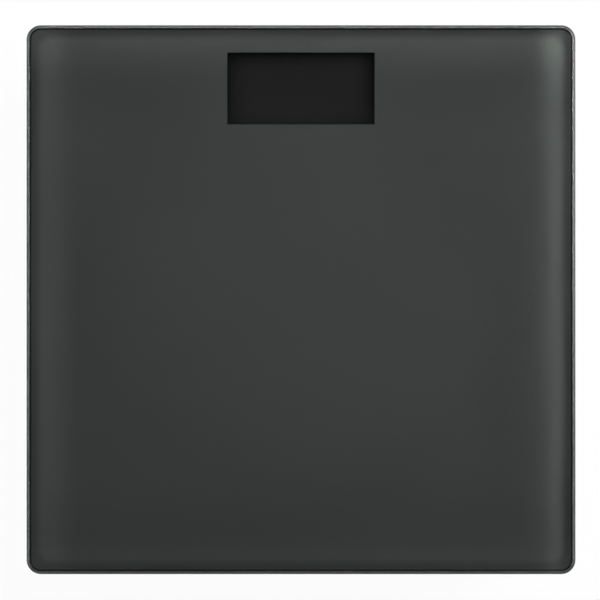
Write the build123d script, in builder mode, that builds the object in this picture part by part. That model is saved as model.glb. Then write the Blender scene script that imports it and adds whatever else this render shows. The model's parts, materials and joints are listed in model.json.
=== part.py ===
from build123d import *

import os

# Digital bathroom scale: a square tempered-glass platform on four load-cell feet, with a display and
# battery housing bonded to its underside.
# Frame: millimetres, +Z up, the floor at z = 0, the origin under the middle of the platform, +Y towards
# the display and +X to the right of someone who stands on the platform and faces the display.

os.makedirs("parts", exist_ok=True)

# ---------------------------------------------------------------- driving dimensions
# Platform: 6 mm glass with a ground edge, printed on its underside except for the display window
platform_side = 305.0
platform_corner_radius = 8.0
overall_height = 24.0
glass_thickness = 6.0
top_arris = 1.7
bottom_arris = 0.8
print_thickness = 0.15
print_edge_gap = 0.2
window_width = 82.0
window_height = 40.0
window_margin = 15.0
adhesive_thickness = 0.6
adhesive_inset = 2.0

# Foot units
foot_inset = 38.0
cup_diameter = 54.0
cup_wall = 2.0
cup_roof = 1.6
cup_rim_height = 4.0
lip_width = 1.0
lip_height = 1.0
lip_slot = 7.0
rail_width = 4.0
rail_length = 26.0
rail_height = 2.0
locator_wall = 1.2
locator_clearance = 0.3
locator_arm = 6.0
locator_hook = 0.6
locator_hook_height = 1.0
cell_side = 34.0
cell_corner_radius = 3.0
cell_thickness = 2.0
tongue_width = 12.0
tongue_reach = 10.0
tongue_root = 12.0
cell_slot = 1.5
coating_length = 10.0
coating_width = 8.0
coating_height = 1.7
coating_overhang = 1.0
coating_edge_radius = 0.8
foot_side_gap = 0.5
flange_side_gap = 0.4
flange_lip_gap = 0.2
flange_height = 1.2
foot_wall = 1.8
foot_floor = 1.6
post_diameter = 10.0
foot_rib = 1.4
foot_rib_count = 6
pad_thickness = 2.0
pad_recess = 0.8
pad_rim = 2.2
pad_side_gap = 0.1
pad_groove_width = 1.0
pad_groove_depth = 0.5
pad_groove_radii = (7.0, 11.5, 16.0)

# Sensor leads and the strips that hold them against the platform
lead_diameter = 1.0
lead_pitch = 1.4
lead_cell_gap = 0.5
lead_turn_radius = 30.0
lead_drop_radius = 2.5
lead_slot_clearance = 0.8
strip_wall = 1.8
strip_floor = 1.0
strip_lead_gap = 0.1
strip_end_gap = 0.5
strip_edge_radius = 1.2

# Display stack
lcd_margin = 3.0
lcd_ledge = 4.0
lcd_plate = 1.1
polariser_thickness = 0.2
polariser_margin = 2.0
backlight_thickness = 2.5
lcd_clearance = 0.3
holder_wall = 1.5
connector_width = 2.2
connector_end_inset = 4.0
board_thickness = 1.6
board_front_strip = 5.4
board_side_strip = 3.7
board_notch_gap = 0.5

# Display and battery housing
housing_side_gap = 4.7
housing_wall = 1.8
housing_roof = 1.5
housing_corner_radius = 6.0
housing_rear_gap = 1.4
aperture_margin = 0.5
cover_height = 3.0
cover_floor = 1.6
cover_edge_radius = 1.2
parting_height = 9.0
tongue_thickness = 0.9
tongue_clearance = 0.15
tongue_height = 1.4
tongue_foot = 1.5
boss_inset = 6.0
boss_diameter = 6.0
cover_boss_diameter = 7.4
screw_head_diameter = 5.0
screw_head_height = 1.8
screw_head_clearance = 0.3
screw_recess = 3.5
screw_diameter = 2.4
screw_fit = 0.1
screw_hole_clearance = 0.4
screw_length = 8.0
screw_boss_spare = 1.0
screw_slot_width = 0.8
screw_slot_depth = 0.8
board_screw_diameter = 1.6
board_screw_head_diameter = 3.8
board_screw_head_height = 1.2
board_screw_length = 5.2
board_screw_x = 37.0
board_post_diameter = 4.6
support_diameter = 4.0
support_x = 40.0
support_rear_inset = 14.0

# Two AAA cells side by side
battery_diameter = 10.5
battery_length = 44.5
nub_diameter = 3.8
nub_height = 0.9
battery_gap = 0.6
battery_side_gap = 0.6
battery_door_gap = 0.3
bay_wall = 1.5
bay_board_gap = 1.0
bay_rib = 0.8
bay_rib_height = 3.0
spring_length = 6.2
spring_wire = 0.8
spring_radius = 3.2
spring_turns = 3.5
contact_thickness = 0.4
contact_width = 9.0
contact_height = 9.2
contact_tab_width = 2.4
contact_tab_clearance = 0.2

# Battery door with its hinge barrel and snap latch
door_clearance = 0.3
door_bay_gap = 0.1
barrel_diameter = 3.0
barrel_bay_gap = 0.3
barrel_cover_gap = 0.25
barrel_shelf = 1.15
barrel_length = 48.0
barrel_end_gap = 0.3
pin_diameter = 1.8
pin_length = 2.0
pin_clearance = 0.05
pin_end_gap = 0.3
lug_length = 3.0
grip_width = 16.0
grip_pitch = 2.0
grip_groove = 0.9
grip_depth = 0.4
grip_count = 4
latch_width = 12.0
latch_leg = 0.8
latch_gap = 1.6
latch_leg_height = 2.3
latch_inset = 0.2
latch_barb = 0.8
latch_barb_height = 0.9
latch_barb_clearance = 0.05

# Unit button and its switch
button_x = -34.0
button_board_inset = 15.0
button_diameter = 8.0
button_clearance = 0.3
button_stand_out = 0.4
button_flange_width = 1.2
button_flange_height = 0.8
button_seat_gap = 0.05
button_travel = 0.3
switch_side = 6.0
switch_height = 2.6
plunger_diameter = 3.5
plunger_clearance = 0.1
plunger_engagement = 0.6
plunger_spare = 0.3

# Electronics on the underside of the board
chip_diameter = 12.0
chip_height = 1.6

# ---------------------------------------------------------------- levels
glass_bottom = overall_height - glass_thickness
print_bottom = glass_bottom - print_thickness
bond_level = print_bottom - adhesive_thickness

cup_ceiling = bond_level - cup_roof
cell_top = cup_ceiling - rail_height
cell_bottom = cell_top - cell_thickness
lead_level = cell_top + lead_cell_gap + lead_diameter / 2

housing_ceiling = bond_level - housing_roof
lcd_front_top = housing_ceiling - polariser_thickness
lcd_rear_top = lcd_front_top - lcd_plate
lcd_bottom = lcd_rear_top - lcd_plate
backlight_top = lcd_bottom - polariser_thickness
board_top = backlight_top - backlight_thickness
board_bottom = board_top - board_thickness
cover_floor_top = cover_height + cover_floor

# ---------------------------------------------------------------- places
foot_offset = platform_side / 2 - foot_inset
window_y = platform_side / 2 - window_margin - window_height / 2

lcd_width = window_width + 2 * lcd_margin
lcd_rear_y = window_y + window_height / 2 + lcd_margin
lcd_plate_front_y = window_y - window_height / 2 - lcd_margin
lcd_front_y = lcd_plate_front_y - lcd_ledge
holder_width = lcd_width + 2 * (lcd_clearance + holder_wall)
holder_rear_y = lcd_rear_y + lcd_clearance + holder_wall
holder_front_y = lcd_front_y - lcd_clearance - holder_wall
board_width = holder_width + 2 * board_side_strip
board_front_y = holder_front_y - board_front_strip
strip_y = (board_front_y + holder_front_y) / 2

bay_width = 2 * battery_diameter + battery_gap + 2 * battery_side_gap
bay_length = battery_length + spring_length + 2 * contact_thickness
bay_rear_y = board_front_y - bay_board_gap - bay_wall
bay_y = bay_rear_y - bay_width / 2
bay_front_outer_y = bay_rear_y - bay_width - bay_wall
bay_rear_outer_y = bay_rear_y + bay_wall
bay_outer_length = bay_length + 2 * bay_wall

hinge_y = bay_front_outer_y - barrel_bay_gap - barrel_diameter / 2
hinge_z = cover_height + barrel_diameter / 2

housing_width = board_width + 2 * (housing_side_gap + housing_wall)
housing_rear_y = holder_rear_y + housing_rear_gap + housing_wall
door_front_gap_y = hinge_y - barrel_diameter / 2 - barrel_cover_gap
housing_front_y = door_front_gap_y - barrel_shelf - housing_wall
housing_y = (housing_rear_y + housing_front_y) / 2
housing_length = housing_rear_y - housing_front_y
boss_x = housing_width / 2 - boss_inset
boss_rear_y = housing_rear_y - boss_inset
boss_front_y = housing_front_y + boss_inset
boss_places = [(x, y) for x in (-boss_x, boss_x) for y in (boss_front_y, boss_rear_y)]
board_screw_places = [(-board_screw_x, strip_y), (board_screw_x, strip_y)]
support_y = holder_rear_y - support_rear_inset
support_places = [(-support_x, support_y), (support_x, support_y)]
lead_slot = 2 * lead_pitch + lead_diameter + 2 * lead_slot_clearance


def level(z, x=0.0, y=0.0, toward=(1.0, 0.0)):
    """A horizontal plane at height z, with its origin at (x, y) and its own x axis along `toward`."""
    return Plane(origin=(x, y, z), x_dir=(toward[0], toward[1], 0), z_dir=(0, 0, 1))


def save(part, name):
    """Label a finished piece and write it as the STEP file of its node."""
    part.label = name
    export_step(part, f"parts/{name}.step")


# ---------------------------------------------------------------- platform
with BuildPart() as glass_platform:
    with BuildSketch(level(glass_bottom)):
        RectangleRounded(platform_side, platform_side, platform_corner_radius)
    extrude(amount=glass_thickness)
    chamfer(glass_platform.edges().group_by(Axis.Z)[-1], length=top_arris)
    chamfer(glass_platform.edges().group_by(Axis.Z)[0], length=bottom_arris)
save(glass_platform.part, "glass_platform")

print_inset = bottom_arris + print_edge_gap
print_side = platform_side - 2 * print_inset
with BuildPart() as printed_backing:
    with BuildSketch(level(print_bottom)):
        RectangleRounded(print_side, print_side, platform_corner_radius - print_inset)
        with Locations((0, window_y)):
            Rectangle(window_width, window_height, mode=Mode.SUBTRACT)
    extrude(amount=print_thickness)
save(printed_backing.part, "printed_backing")

with BuildPart() as housing_adhesive:
    with BuildSketch(level(bond_level, y=housing_y)):
        RectangleRounded(
            housing_width - 2 * adhesive_inset,
            housing_length - 2 * adhesive_inset,
            housing_corner_radius - adhesive_inset,
        )
        with Locations((0, window_y - housing_y)):
            Rectangle(
                window_width + 2 * adhesive_inset,
                window_height + 2 * adhesive_inset,
                mode=Mode.SUBTRACT,
            )
    extrude(amount=adhesive_thickness)
save(housing_adhesive.part, "housing_adhesive")

# ---------------------------------------------------------------- foot units
# Each unit is drawn about its own axis, with its x axis pointing the way its leads go.
cup_bore = cup_diameter - 2 * cup_wall
lip_bore = cup_bore - 2 * lip_width
foot_diameter = lip_bore - 2 * foot_side_gap
flange_diameter = cup_bore - 2 * flange_side_gap
flange_bottom = cup_rim_height + lip_height + flange_lip_gap
flange_top = flange_bottom + flange_height
foot_bottom = pad_thickness - pad_recess
foot_floor_top = pad_thickness + foot_floor
foot_bore = foot_diameter - 2 * foot_wall
pad_pocket = foot_diameter - 2 * pad_rim
pad_diameter = pad_pocket - 2 * pad_side_gap
locator_inner = cell_side + 2 * locator_clearance
locator_outer = locator_inner + 2 * locator_wall
coating_start = tongue_root + coating_overhang - coating_length
coating_end = tongue_root + coating_overhang

foot_units = {
    "front_left": ((-foot_offset, -foot_offset), (0.0, 1.0)),
    "front_right": ((foot_offset, -foot_offset), (0.0, 1.0)),
    "rear_left": ((-foot_offset, foot_offset), (1.0, 0.0)),
    "rear_right": ((foot_offset, foot_offset), (-1.0, 0.0)),
}

for corner, ((foot_x, foot_y), lead_way) in foot_units.items():

    def unit_level(z):
        return level(z, foot_x, foot_y, lead_way)

    with BuildPart() as foot_adhesive:
        with BuildSketch(unit_level(bond_level)):
            Circle(cup_diameter / 2 - adhesive_inset)
        extrude(amount=adhesive_thickness)
    save(foot_adhesive.part, f"foot_adhesive_{corner}")

    with BuildPart() as sensor_cup:
        with BuildSketch(unit_level(cup_rim_height)):
            Circle(cup_diameter / 2)
        extrude(amount=bond_level - cup_rim_height)
        fillet(sensor_cup.edges().group_by(Axis.Z)[0], radius=cup_wall / 4)
        with BuildSketch(unit_level(cup_rim_height)):
            Circle(lip_bore / 2)
            Rectangle(cup_bore, lip_slot)
            Rectangle(lip_slot, cup_bore)
        extrude(amount=lip_height, mode=Mode.SUBTRACT)
        with BuildSketch(unit_level(cup_rim_height + lip_height)):
            Circle(cup_bore / 2)
        extrude(amount=cup_ceiling - cup_rim_height - lip_height, mode=Mode.SUBTRACT)
        # rails that bear on the load cell's frame
        with BuildSketch(unit_level(cell_top)):
            rail_y = cell_side / 2 - rail_width / 2 - cell_slot / 2
            with Locations((0, rail_y), (0, -rail_y)):
                Rectangle(rail_length, rail_width)
        extrude(amount=rail_height)
        # corner ribs that hold the load cell in place, each with a hook under its corner
        with BuildSketch(unit_level(cell_bottom - locator_hook_height)):
            Rectangle(locator_outer, locator_outer)
            Rectangle(cell_side - 2 * locator_hook, cell_side - 2 * locator_hook, mode=Mode.SUBTRACT)
            Rectangle(locator_outer - 2 * locator_arm, locator_outer, mode=Mode.SUBTRACT)
            Rectangle(locator_outer, locator_outer - 2 * locator_arm, mode=Mode.SUBTRACT)
            Circle(cup_bore / 2 + cup_wall / 2, mode=Mode.INTERSECT)
        extrude(amount=locator_hook_height)
        with BuildSketch(unit_level(cell_bottom)):
            Rectangle(locator_outer, locator_outer)
            Rectangle(locator_inner, locator_inner, mode=Mode.SUBTRACT)
            Rectangle(locator_outer - 2 * locator_arm, locator_outer, mode=Mode.SUBTRACT)
            Rectangle(locator_outer, locator_outer - 2 * locator_arm, mode=Mode.SUBTRACT)
            Circle(cup_bore / 2 + cup_wall / 2, mode=Mode.INTERSECT)
        extrude(amount=cup_ceiling - cell_bottom)
        # slot where the leads leave
        with BuildSketch(unit_level(cell_top)):
            with Locations((cup_bore / 2 + cup_wall / 2, 0)):
                Rectangle(2 * cup_wall, lead_slot)
        extrude(amount=rail_height, mode=Mode.SUBTRACT)
    save(sensor_cup.part, f"sensor_cup_{corner}")

    with BuildPart() as load_cell:
        with BuildSketch(unit_level(cell_bottom)):
            RectangleRounded(cell_side, cell_side, cell_corner_radius)
            # a U-shaped slot frees the tongue on three sides
            with Locations(((tongue_root - tongue_reach - cell_slot) / 2, 0)):
                Rectangle(
                    tongue_root + tongue_reach + cell_slot,
                    tongue_width + 2 * cell_slot,
                    mode=Mode.SUBTRACT,
                )
            with Locations(((tongue_root - tongue_reach) / 2, 0)):
                Rectangle(tongue_root + tongue_reach, tongue_width)
            # holes in the frame's far corners
            hole_place = cell_side / 2 - cell_corner_radius - cell_slot / 2
            with Locations((-hole_place, hole_place), (-hole_place, -hole_place)):
                Circle(cell_slot, mode=Mode.SUBTRACT)
        extrude(amount=cell_thickness)
    save(load_cell.part, f"load_cell_{corner}")

    with BuildPart() as gauge_coating:
        with BuildSketch(unit_level(cell_top)):
            with Locations(((coating_start + coating_end) / 2, 0)):
                Rectangle(coating_length, coating_width)
        extrude(amount=coating_height)
        lead_axis = Axis((foot_x, foot_y, 0), (lead_way[0], lead_way[1], 0))
        top_edges = gauge_coating.edges().group_by(Axis.Z)[-1]
        fillet(top_edges.sort_by(lead_axis)[:-1], radius=coating_edge_radius)
    save(gauge_coating.part, f"gauge_coating_{corner}")

    with BuildPart() as foot:
        with BuildSketch(unit_level(foot_bottom)):
            Circle(foot_diameter / 2)
        extrude(amount=flange_bottom - foot_bottom)
        chamfer(foot.edges().group_by(Axis.Z)[0], length=pad_rim / 4)
        with BuildSketch(unit_level(flange_bottom)):
            Circle(flange_diameter / 2)
        extrude(amount=flange_height)
        with BuildSketch(unit_level(foot_bottom)):
            Circle(pad_pocket / 2)
        extrude(amount=pad_recess, mode=Mode.SUBTRACT)
        with BuildSketch(unit_level(foot_floor_top)):
            Circle(foot_bore / 2)
        extrude(amount=flange_top - foot_floor_top, mode=Mode.SUBTRACT)
        with BuildSketch(unit_level(foot_floor_top)):
            with PolarLocations(0, foot_rib_count):
                with Locations((foot_bore / 4, 0)):
                    Rectangle(foot_bore / 2 + foot_wall / 2, foot_rib)
        extrude(amount=flange_bottom - foot_floor_top)
        with BuildSketch(unit_level(foot_floor_top)):
            Circle(post_diameter / 2)
        extrude(amount=cell_bottom - foot_floor_top)
    save(foot.part, f"foot_{corner}")

    with BuildPart() as foot_pad:
        with BuildSketch(unit_level(0)):
            Circle(pad_diameter / 2)
        extrude(amount=pad_thickness)
        chamfer(foot_pad.edges().group_by(Axis.Z)[0], length=pad_groove_depth)
        with BuildSketch(unit_level(0)):
            for groove_radius in pad_groove_radii:
                Circle(groove_radius + pad_groove_width / 2)
                Circle(groove_radius - pad_groove_width / 2, mode=Mode.SUBTRACT)
        extrude(amount=pad_groove_depth, mode=Mode.SUBTRACT)
    save(foot_pad.part, f"foot_pad_{corner}")

# ---------------------------------------------------------------- sensor leads
# Three leads leave each load cell side by side. The rear ones run straight to the housing's side wall.
# The front ones run along the platform's side and turn in to the housing level with the board's strip.
pad_level = board_top + lead_diameter / 2
drop_height = lead_level - pad_level
lead_wall_x = housing_width / 2
drop_start_x = lead_wall_x - housing_wall - lead_drop_radius / 2
drop_end_x = drop_start_x - drop_height
lead_end_x = holder_width / 2 + lead_drop_radius / 4
strip_bottom = lead_level - lead_diameter / 2 - strip_lead_gap - strip_floor
strip_width = lead_slot + 2 * strip_wall
strip_height = print_bottom - strip_bottom


def lead_route(corner, offset):
    """Corner points and bend radii of one lead, `offset` to the outside of its bundle's middle."""
    (x, y), way = foot_units[corner]
    side = 1 if x > 0 else -1
    if y > 0:
        entry_y = y + offset
        points = [(side * (abs(x) - coating_end), entry_y, lead_level)]
        radii = []
    else:
        entry_y = strip_y + offset
        run_x = side * (abs(x) + offset)
        points = [(run_x, y + coating_end, lead_level), (run_x, entry_y, lead_level)]
        radii = [lead_turn_radius + offset]
    points.append((side * drop_start_x, entry_y, lead_level))
    points.append((side * drop_end_x, entry_y, pad_level))
    points.append((side * lead_end_x, entry_y, pad_level))
    return points, radii + [lead_drop_radius, lead_drop_radius]


for corner in foot_units:
    with BuildPart() as sensor_leads:
        for offset in (-lead_pitch, 0.0, lead_pitch):
            points, radii = lead_route(corner, offset)
            with BuildLine() as route:
                FilletPolyline(*points, radius=radii)
            with BuildSketch(Plane(origin=route.line @ 0, z_dir=route.line % 0)):
                Circle(lead_diameter / 2)
            sweep(path=route.line)
    save(sensor_leads.part, f"sensor_leads_{corner}")

    (foot_x, foot_y), lead_way = foot_units[corner]
    side = 1 if foot_x > 0 else -1
    strip_end_x = side * (lead_wall_x + strip_end_gap)
    strip_start = cup_diameter / 2 + strip_end_gap
    with BuildPart() as wire_cover:
        with BuildLine() as route:
            if foot_y > 0:
                Line(
                    (foot_x - side * strip_start, foot_y, print_bottom),
                    (strip_end_x, foot_y, print_bottom),
                )
            else:
                FilletPolyline(
                    (foot_x, foot_y + strip_start, print_bottom),
                    (foot_x, strip_y, print_bottom),
                    (strip_end_x, strip_y, print_bottom),
                    radius=lead_turn_radius,
                )
        run = route.line % 0
        with BuildSketch(Plane(origin=route.line @ 0, x_dir=Vector(0, 0, 1).cross(run), z_dir=run)):
            with Locations((0, -strip_height / 2)):
                outer = Rectangle(strip_width, strip_height)
            fillet(outer.vertices().group_by(Axis.Z)[0], radius=strip_edge_radius)
            with Locations((0, -(strip_height - strip_floor) / 2)):
                Rectangle(lead_slot, strip_height - strip_floor, mode=Mode.SUBTRACT)
        sweep(path=route.line)
    save(wire_cover.part, f"wire_cover_{corner}")

# ---------------------------------------------------------------- display housing, upper half
battery_level = cover_floor_top + battery_door_gap + battery_diameter / 2
battery_places = (bay_y - (battery_diameter + battery_gap) / 2, bay_y + (battery_diameter + battery_gap) / 2)
tab_level = board_bottom - lead_diameter / 2
bay_wall_bottom = cover_floor_top + door_bay_gap
boss_hole_depth = screw_length - (parting_height - cover_height - screw_recess) + screw_boss_spare
tab_slot_width = contact_tab_width + 2 * contact_tab_clearance
tab_slot_height = contact_thickness + 2 * contact_tab_clearance

with BuildPart() as display_housing:
    with BuildSketch(level(parting_height, y=housing_y)):
        RectangleRounded(housing_width, housing_length, housing_corner_radius)
    extrude(amount=bond_level - parting_height)
    with BuildSketch(level(parting_height, y=housing_y)):
        RectangleRounded(
            housing_width - 2 * housing_wall,
            housing_length - 2 * housing_wall,
            housing_corner_radius - housing_wall,
        )
    extrude(amount=housing_ceiling - parting_height, mode=Mode.SUBTRACT)
    # aperture behind the display window
    with BuildSketch(level(housing_ceiling, y=window_y)):
        Rectangle(window_width + 2 * aperture_margin, window_height + 2 * aperture_margin)
    extrude(amount=housing_roof, mode=Mode.SUBTRACT)
    # battery bay
    with BuildSketch(level(bay_wall_bottom, y=bay_y)):
        Rectangle(bay_outer_length, bay_width + 2 * bay_wall)
        Rectangle(bay_length, bay_width, mode=Mode.SUBTRACT)
    extrude(amount=housing_ceiling - bay_wall_bottom)
    with BuildSketch(level(housing_ceiling - bay_rib_height, y=bay_y)):
        Rectangle(battery_length - 2 * spring_length, bay_rib)
    extrude(amount=bay_rib_height)
    # slots for the contact tabs at the bay's right end
    with BuildSketch(level(tab_level - tab_slot_height / 2)):
        with Locations([(bay_length / 2 + bay_wall / 2, y) for y in battery_places]):
            Rectangle(2 * bay_wall, tab_slot_width)
    extrude(amount=tab_slot_height, mode=Mode.SUBTRACT)
    # screw bosses and board posts
    with BuildSketch(level(parting_height)):
        with Locations(boss_places):
            Circle(boss_diameter / 2)
    extrude(amount=housing_ceiling - parting_height)
    with BuildSketch(level(parting_height)):
        with Locations(boss_places):
            Circle(screw_diameter / 2)
    extrude(amount=boss_hole_depth, mode=Mode.SUBTRACT)
    with BuildSketch(level(board_top)):
        with Locations(board_screw_places):
            Circle(board_post_diameter / 2)
    extrude(amount=housing_ceiling - board_top)
    with BuildSketch(level(board_top)):
        with Locations(board_screw_places):
            Circle(board_screw_diameter / 2)
    extrude(amount=board_screw_length - board_thickness + screw_boss_spare, mode=Mode.SUBTRACT)
    # lead slots in the side walls, open at the parting line
    with BuildSketch(level(parting_height)):
        with Locations([(s * (lead_wall_x - housing_wall / 2), y) for s in (-1, 1) for y in (strip_y, foot_offset)]):
            Rectangle(2 * housing_wall, lead_slot)
    extrude(amount=lead_level + lead_diameter / 2 + strip_lead_gap - parting_height, mode=Mode.SUBTRACT)
save(display_housing.part, "display_housing")

# ---------------------------------------------------------------- display housing, lower cover
door_width = bay_outer_length + 2 * door_bay_gap
door_rear_y = bay_rear_outer_y + door_bay_gap
door_front_y = hinge_y + barrel_diameter / 2 + door_clearance
door_opening_width = door_width + 2 * door_clearance
door_opening_rear_y = door_rear_y + door_clearance
latch_tongue_y = door_rear_y + latch_inset + latch_leg
latch_rear_y = door_rear_y + latch_inset + 2 * latch_leg + latch_gap
latch_opening_rear_y = latch_rear_y + door_clearance
button_y = board_front_y + button_board_inset
lug_end_x = barrel_length / 2 + barrel_end_gap
lead_tab_top = lead_level - lead_diameter / 2 - strip_lead_gap

with BuildPart() as housing_cover:
    with BuildSketch(level(cover_height, y=housing_y)):
        RectangleRounded(housing_width, housing_length, housing_corner_radius)
    extrude(amount=parting_height - cover_height)
    fillet(housing_cover.edges().group_by(Axis.Z)[0], radius=cover_edge_radius)
    with BuildSketch(level(cover_floor_top, y=housing_y)):
        RectangleRounded(
            housing_width - 2 * housing_wall,
            housing_length - 2 * housing_wall,
            housing_corner_radius - housing_wall,
        )
    extrude(amount=parting_height - cover_floor_top, mode=Mode.SUBTRACT)
    # raised tongue that lines up the two halves
    with BuildSketch(level(parting_height - tongue_foot, y=housing_y)):
        tongue_outer = housing_wall + tongue_clearance
        tongue_inner = tongue_outer + tongue_thickness
        RectangleRounded(
            housing_width - 2 * housing_wall,
            housing_length - 2 * housing_wall,
            housing_corner_radius - housing_wall,
        )
        RectangleRounded(
            housing_width - 2 * tongue_inner,
            housing_length - 2 * tongue_inner,
            housing_corner_radius - tongue_inner,
            mode=Mode.SUBTRACT,
        )
    extrude(amount=tongue_foot)
    with BuildSketch(level(parting_height, y=housing_y)):
        RectangleRounded(
            housing_width - 2 * tongue_outer,
            housing_length - 2 * tongue_outer,
            housing_corner_radius - tongue_outer,
        )
        RectangleRounded(
            housing_width - 2 * tongue_inner,
            housing_length - 2 * tongue_inner,
            housing_corner_radius - tongue_inner,
            mode=Mode.SUBTRACT,
        )
    extrude(amount=tongue_height)
    # tabs that close the lead slots up to the leads
    with BuildSketch(level(parting_height)):
        with Locations([(s * (lead_wall_x - housing_wall / 2), y) for s in (-1, 1) for y in (strip_y, foot_offset)]):
            Rectangle(housing_wall, lead_slot - 2 * tongue_clearance)
    extrude(amount=lead_tab_top - parting_height)
    # screw bosses with their recesses
    with BuildSketch(level(cover_floor_top)):
        with Locations(boss_places):
            Circle(cover_boss_diameter / 2)
    extrude(amount=parting_height - cover_floor_top)
    with BuildSketch(level(cover_height)):
        with Locations(boss_places):
            Circle(screw_head_diameter / 2 + screw_head_clearance)
    extrude(amount=screw_recess, mode=Mode.SUBTRACT)
    with BuildSketch(level(cover_height + screw_recess)):
        with Locations(boss_places):
            Circle((screw_diameter + screw_hole_clearance) / 2)
    extrude(amount=parting_height - cover_height - screw_recess, mode=Mode.SUBTRACT)
    # supports under the rear of the board
    with BuildSketch(level(cover_floor_top)):
        with Locations(support_places):
            Circle(support_diameter / 2)
    extrude(amount=board_bottom - cover_floor_top)
    # opening for the battery door, its barrel and its latch
    with BuildSketch(level(cover_height)):
        with Locations((0, (door_front_gap_y + door_opening_rear_y) / 2)):
            Rectangle(door_opening_width, door_opening_rear_y - door_front_gap_y)
        with Locations((0, (door_rear_y + latch_opening_rear_y) / 2)):
            Rectangle(latch_width + 2 * door_clearance, latch_opening_rear_y - door_rear_y)
    extrude(amount=cover_floor, mode=Mode.SUBTRACT)
    # hinge lugs beside the barrel, with a socket each for its pins
    for side in (-1, 1):
        with BuildSketch(Plane(origin=(side * lug_end_x, hinge_y, hinge_z), z_dir=(side, 0, 0))):
            Circle(barrel_diameter / 2)
        extrude(amount=door_opening_width / 2 + lug_length - lug_end_x)
    for side in (-1, 1):
        with BuildSketch(Plane(origin=(side * lug_end_x, hinge_y, hinge_z), z_dir=(side, 0, 0))):
            Circle(pin_diameter / 2 + pin_clearance)
        extrude(amount=pin_length - barrel_end_gap + pin_end_gap, mode=Mode.SUBTRACT)
    # hole for the unit button
    with BuildSketch(level(cover_height)):
        with Locations((button_x, button_y)):
            Circle(button_diameter / 2 + button_clearance)
    extrude(amount=cover_floor, mode=Mode.SUBTRACT)
save(housing_cover.part, "housing_cover")

# ---------------------------------------------------------------- battery door and latch
with BuildPart() as battery_door:
    with BuildSketch(level(cover_height)):
        with Locations((0, (door_front_y + door_rear_y) / 2)):
            Rectangle(door_width, door_rear_y - door_front_y)
        with Locations((0, (hinge_y + door_front_y) / 2)):
            Rectangle(barrel_length, door_front_y - hinge_y)
        with Locations((0, (door_rear_y + latch_tongue_y) / 2)):
            Rectangle(latch_width, latch_tongue_y - door_rear_y)
    extrude(amount=cover_floor)
    with BuildSketch(Plane(origin=(-barrel_length / 2, hinge_y, hinge_z), z_dir=(1, 0, 0))):
        Circle(barrel_diameter / 2)
    extrude(amount=barrel_length)
    with BuildSketch(Plane(origin=(-barrel_length / 2 - pin_length, hinge_y, hinge_z), z_dir=(1, 0, 0))):
        Circle(pin_diameter / 2)
    extrude(amount=barrel_length + 2 * pin_length)
    # finger grooves beside the latch
    with BuildSketch(level(cover_height)):
        first_groove_y = door_rear_y - grip_pitch
        with Locations([(0, first_groove_y - n * grip_pitch) for n in range(grip_count)]):
            SlotOverall(grip_width, grip_groove)
    extrude(amount=grip_depth, mode=Mode.SUBTRACT)
save(battery_door.part, "battery_door")

# The latch is a folded snap spring: one leg stands on the door, the other hooks over the cover's edge.
latch_front_y = door_rear_y + latch_inset
latch_bend_z = cover_floor_top + latch_leg_height
latch_bend_y = latch_front_y + latch_leg + latch_gap / 2
with BuildPart() as door_latch:
    with BuildSketch(Plane(origin=(-latch_width / 2, 0, 0), x_dir=(0, 1, 0), z_dir=(1, 0, 0))):
        with Locations((latch_front_y + latch_leg / 2, (cover_floor_top + latch_bend_z) / 2)):
            Rectangle(latch_leg, latch_bend_z - cover_floor_top)
        with Locations((latch_rear_y - latch_leg / 2, (cover_height + latch_bend_z) / 2)):
            Rectangle(latch_leg, latch_bend_z - cover_height)
        with Locations((latch_bend_y, latch_bend_z)):
            Circle(latch_gap / 2 + latch_leg)
            Circle(latch_gap / 2, mode=Mode.SUBTRACT)
        with Locations((latch_bend_y, latch_bend_z - latch_leg_height / 2)):
            Rectangle(latch_gap, latch_leg_height, mode=Mode.SUBTRACT)
        with BuildLine():
            Polyline(
                (latch_rear_y, cover_floor_top + latch_barb_clearance),
                (latch_rear_y + latch_barb, cover_floor_top + latch_barb_clearance),
                (latch_rear_y, cover_floor_top + latch_barb_clearance + latch_barb_height),
                close=True,
            )
        make_face()
    extrude(amount=latch_width)
save(door_latch.part, "door_latch")

# ---------------------------------------------------------------- batteries and their contacts
# The front cell points to the right and the rear cell to the left, so the left contact joins them.
with BuildPart() as batteries:
    for way, y in zip((1, -1), battery_places):
        tip_x = way * (bay_length / 2 - contact_thickness)
        with BuildSketch(Plane(origin=(tip_x, y, battery_level), z_dir=(-way, 0, 0))):
            Circle(nub_diameter / 2)
        extrude(amount=nub_height)
        with BuildSketch(Plane(origin=(tip_x - way * nub_height, y, battery_level), z_dir=(-way, 0, 0))):
            Circle(battery_diameter / 2)
        extrude(amount=battery_length - nub_height)
    fillet(
        batteries.edges().filter_by(GeomType.CIRCLE).filter_by(lambda e: e.radius > nub_diameter),
        radius=nub_height / 2,
    )
save(batteries.part, "batteries")

contact_bottom = battery_level - contact_height / 2
with BuildPart() as battery_contacts:
    # one wide plate joins the cells at the left end
    with BuildSketch(level(contact_bottom)):
        with Locations((-bay_length / 2 + contact_thickness / 2, bay_y)):
            Rectangle(contact_thickness, battery_diameter + battery_gap + contact_width)
    extrude(amount=contact_height)
    # two plates with solder tabs at the right end
    with BuildSketch(level(contact_bottom)):
        with Locations([(bay_length / 2 - contact_thickness / 2, y) for y in battery_places]):
            Rectangle(contact_thickness, contact_width)
    extrude(amount=contact_height)
    for row, y in enumerate(reversed(battery_places)):
        tab_length = bay_wall + (row + 1) * (lead_diameter + strip_lead_gap) + strip_lead_gap
        with BuildSketch(level(tab_level - contact_thickness / 2)):
            with Locations((bay_length / 2 + tab_length / 2, y)):
                Rectangle(tab_length, contact_tab_width)
        extrude(amount=contact_thickness)
save(battery_contacts.part, "battery_contacts")

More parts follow.
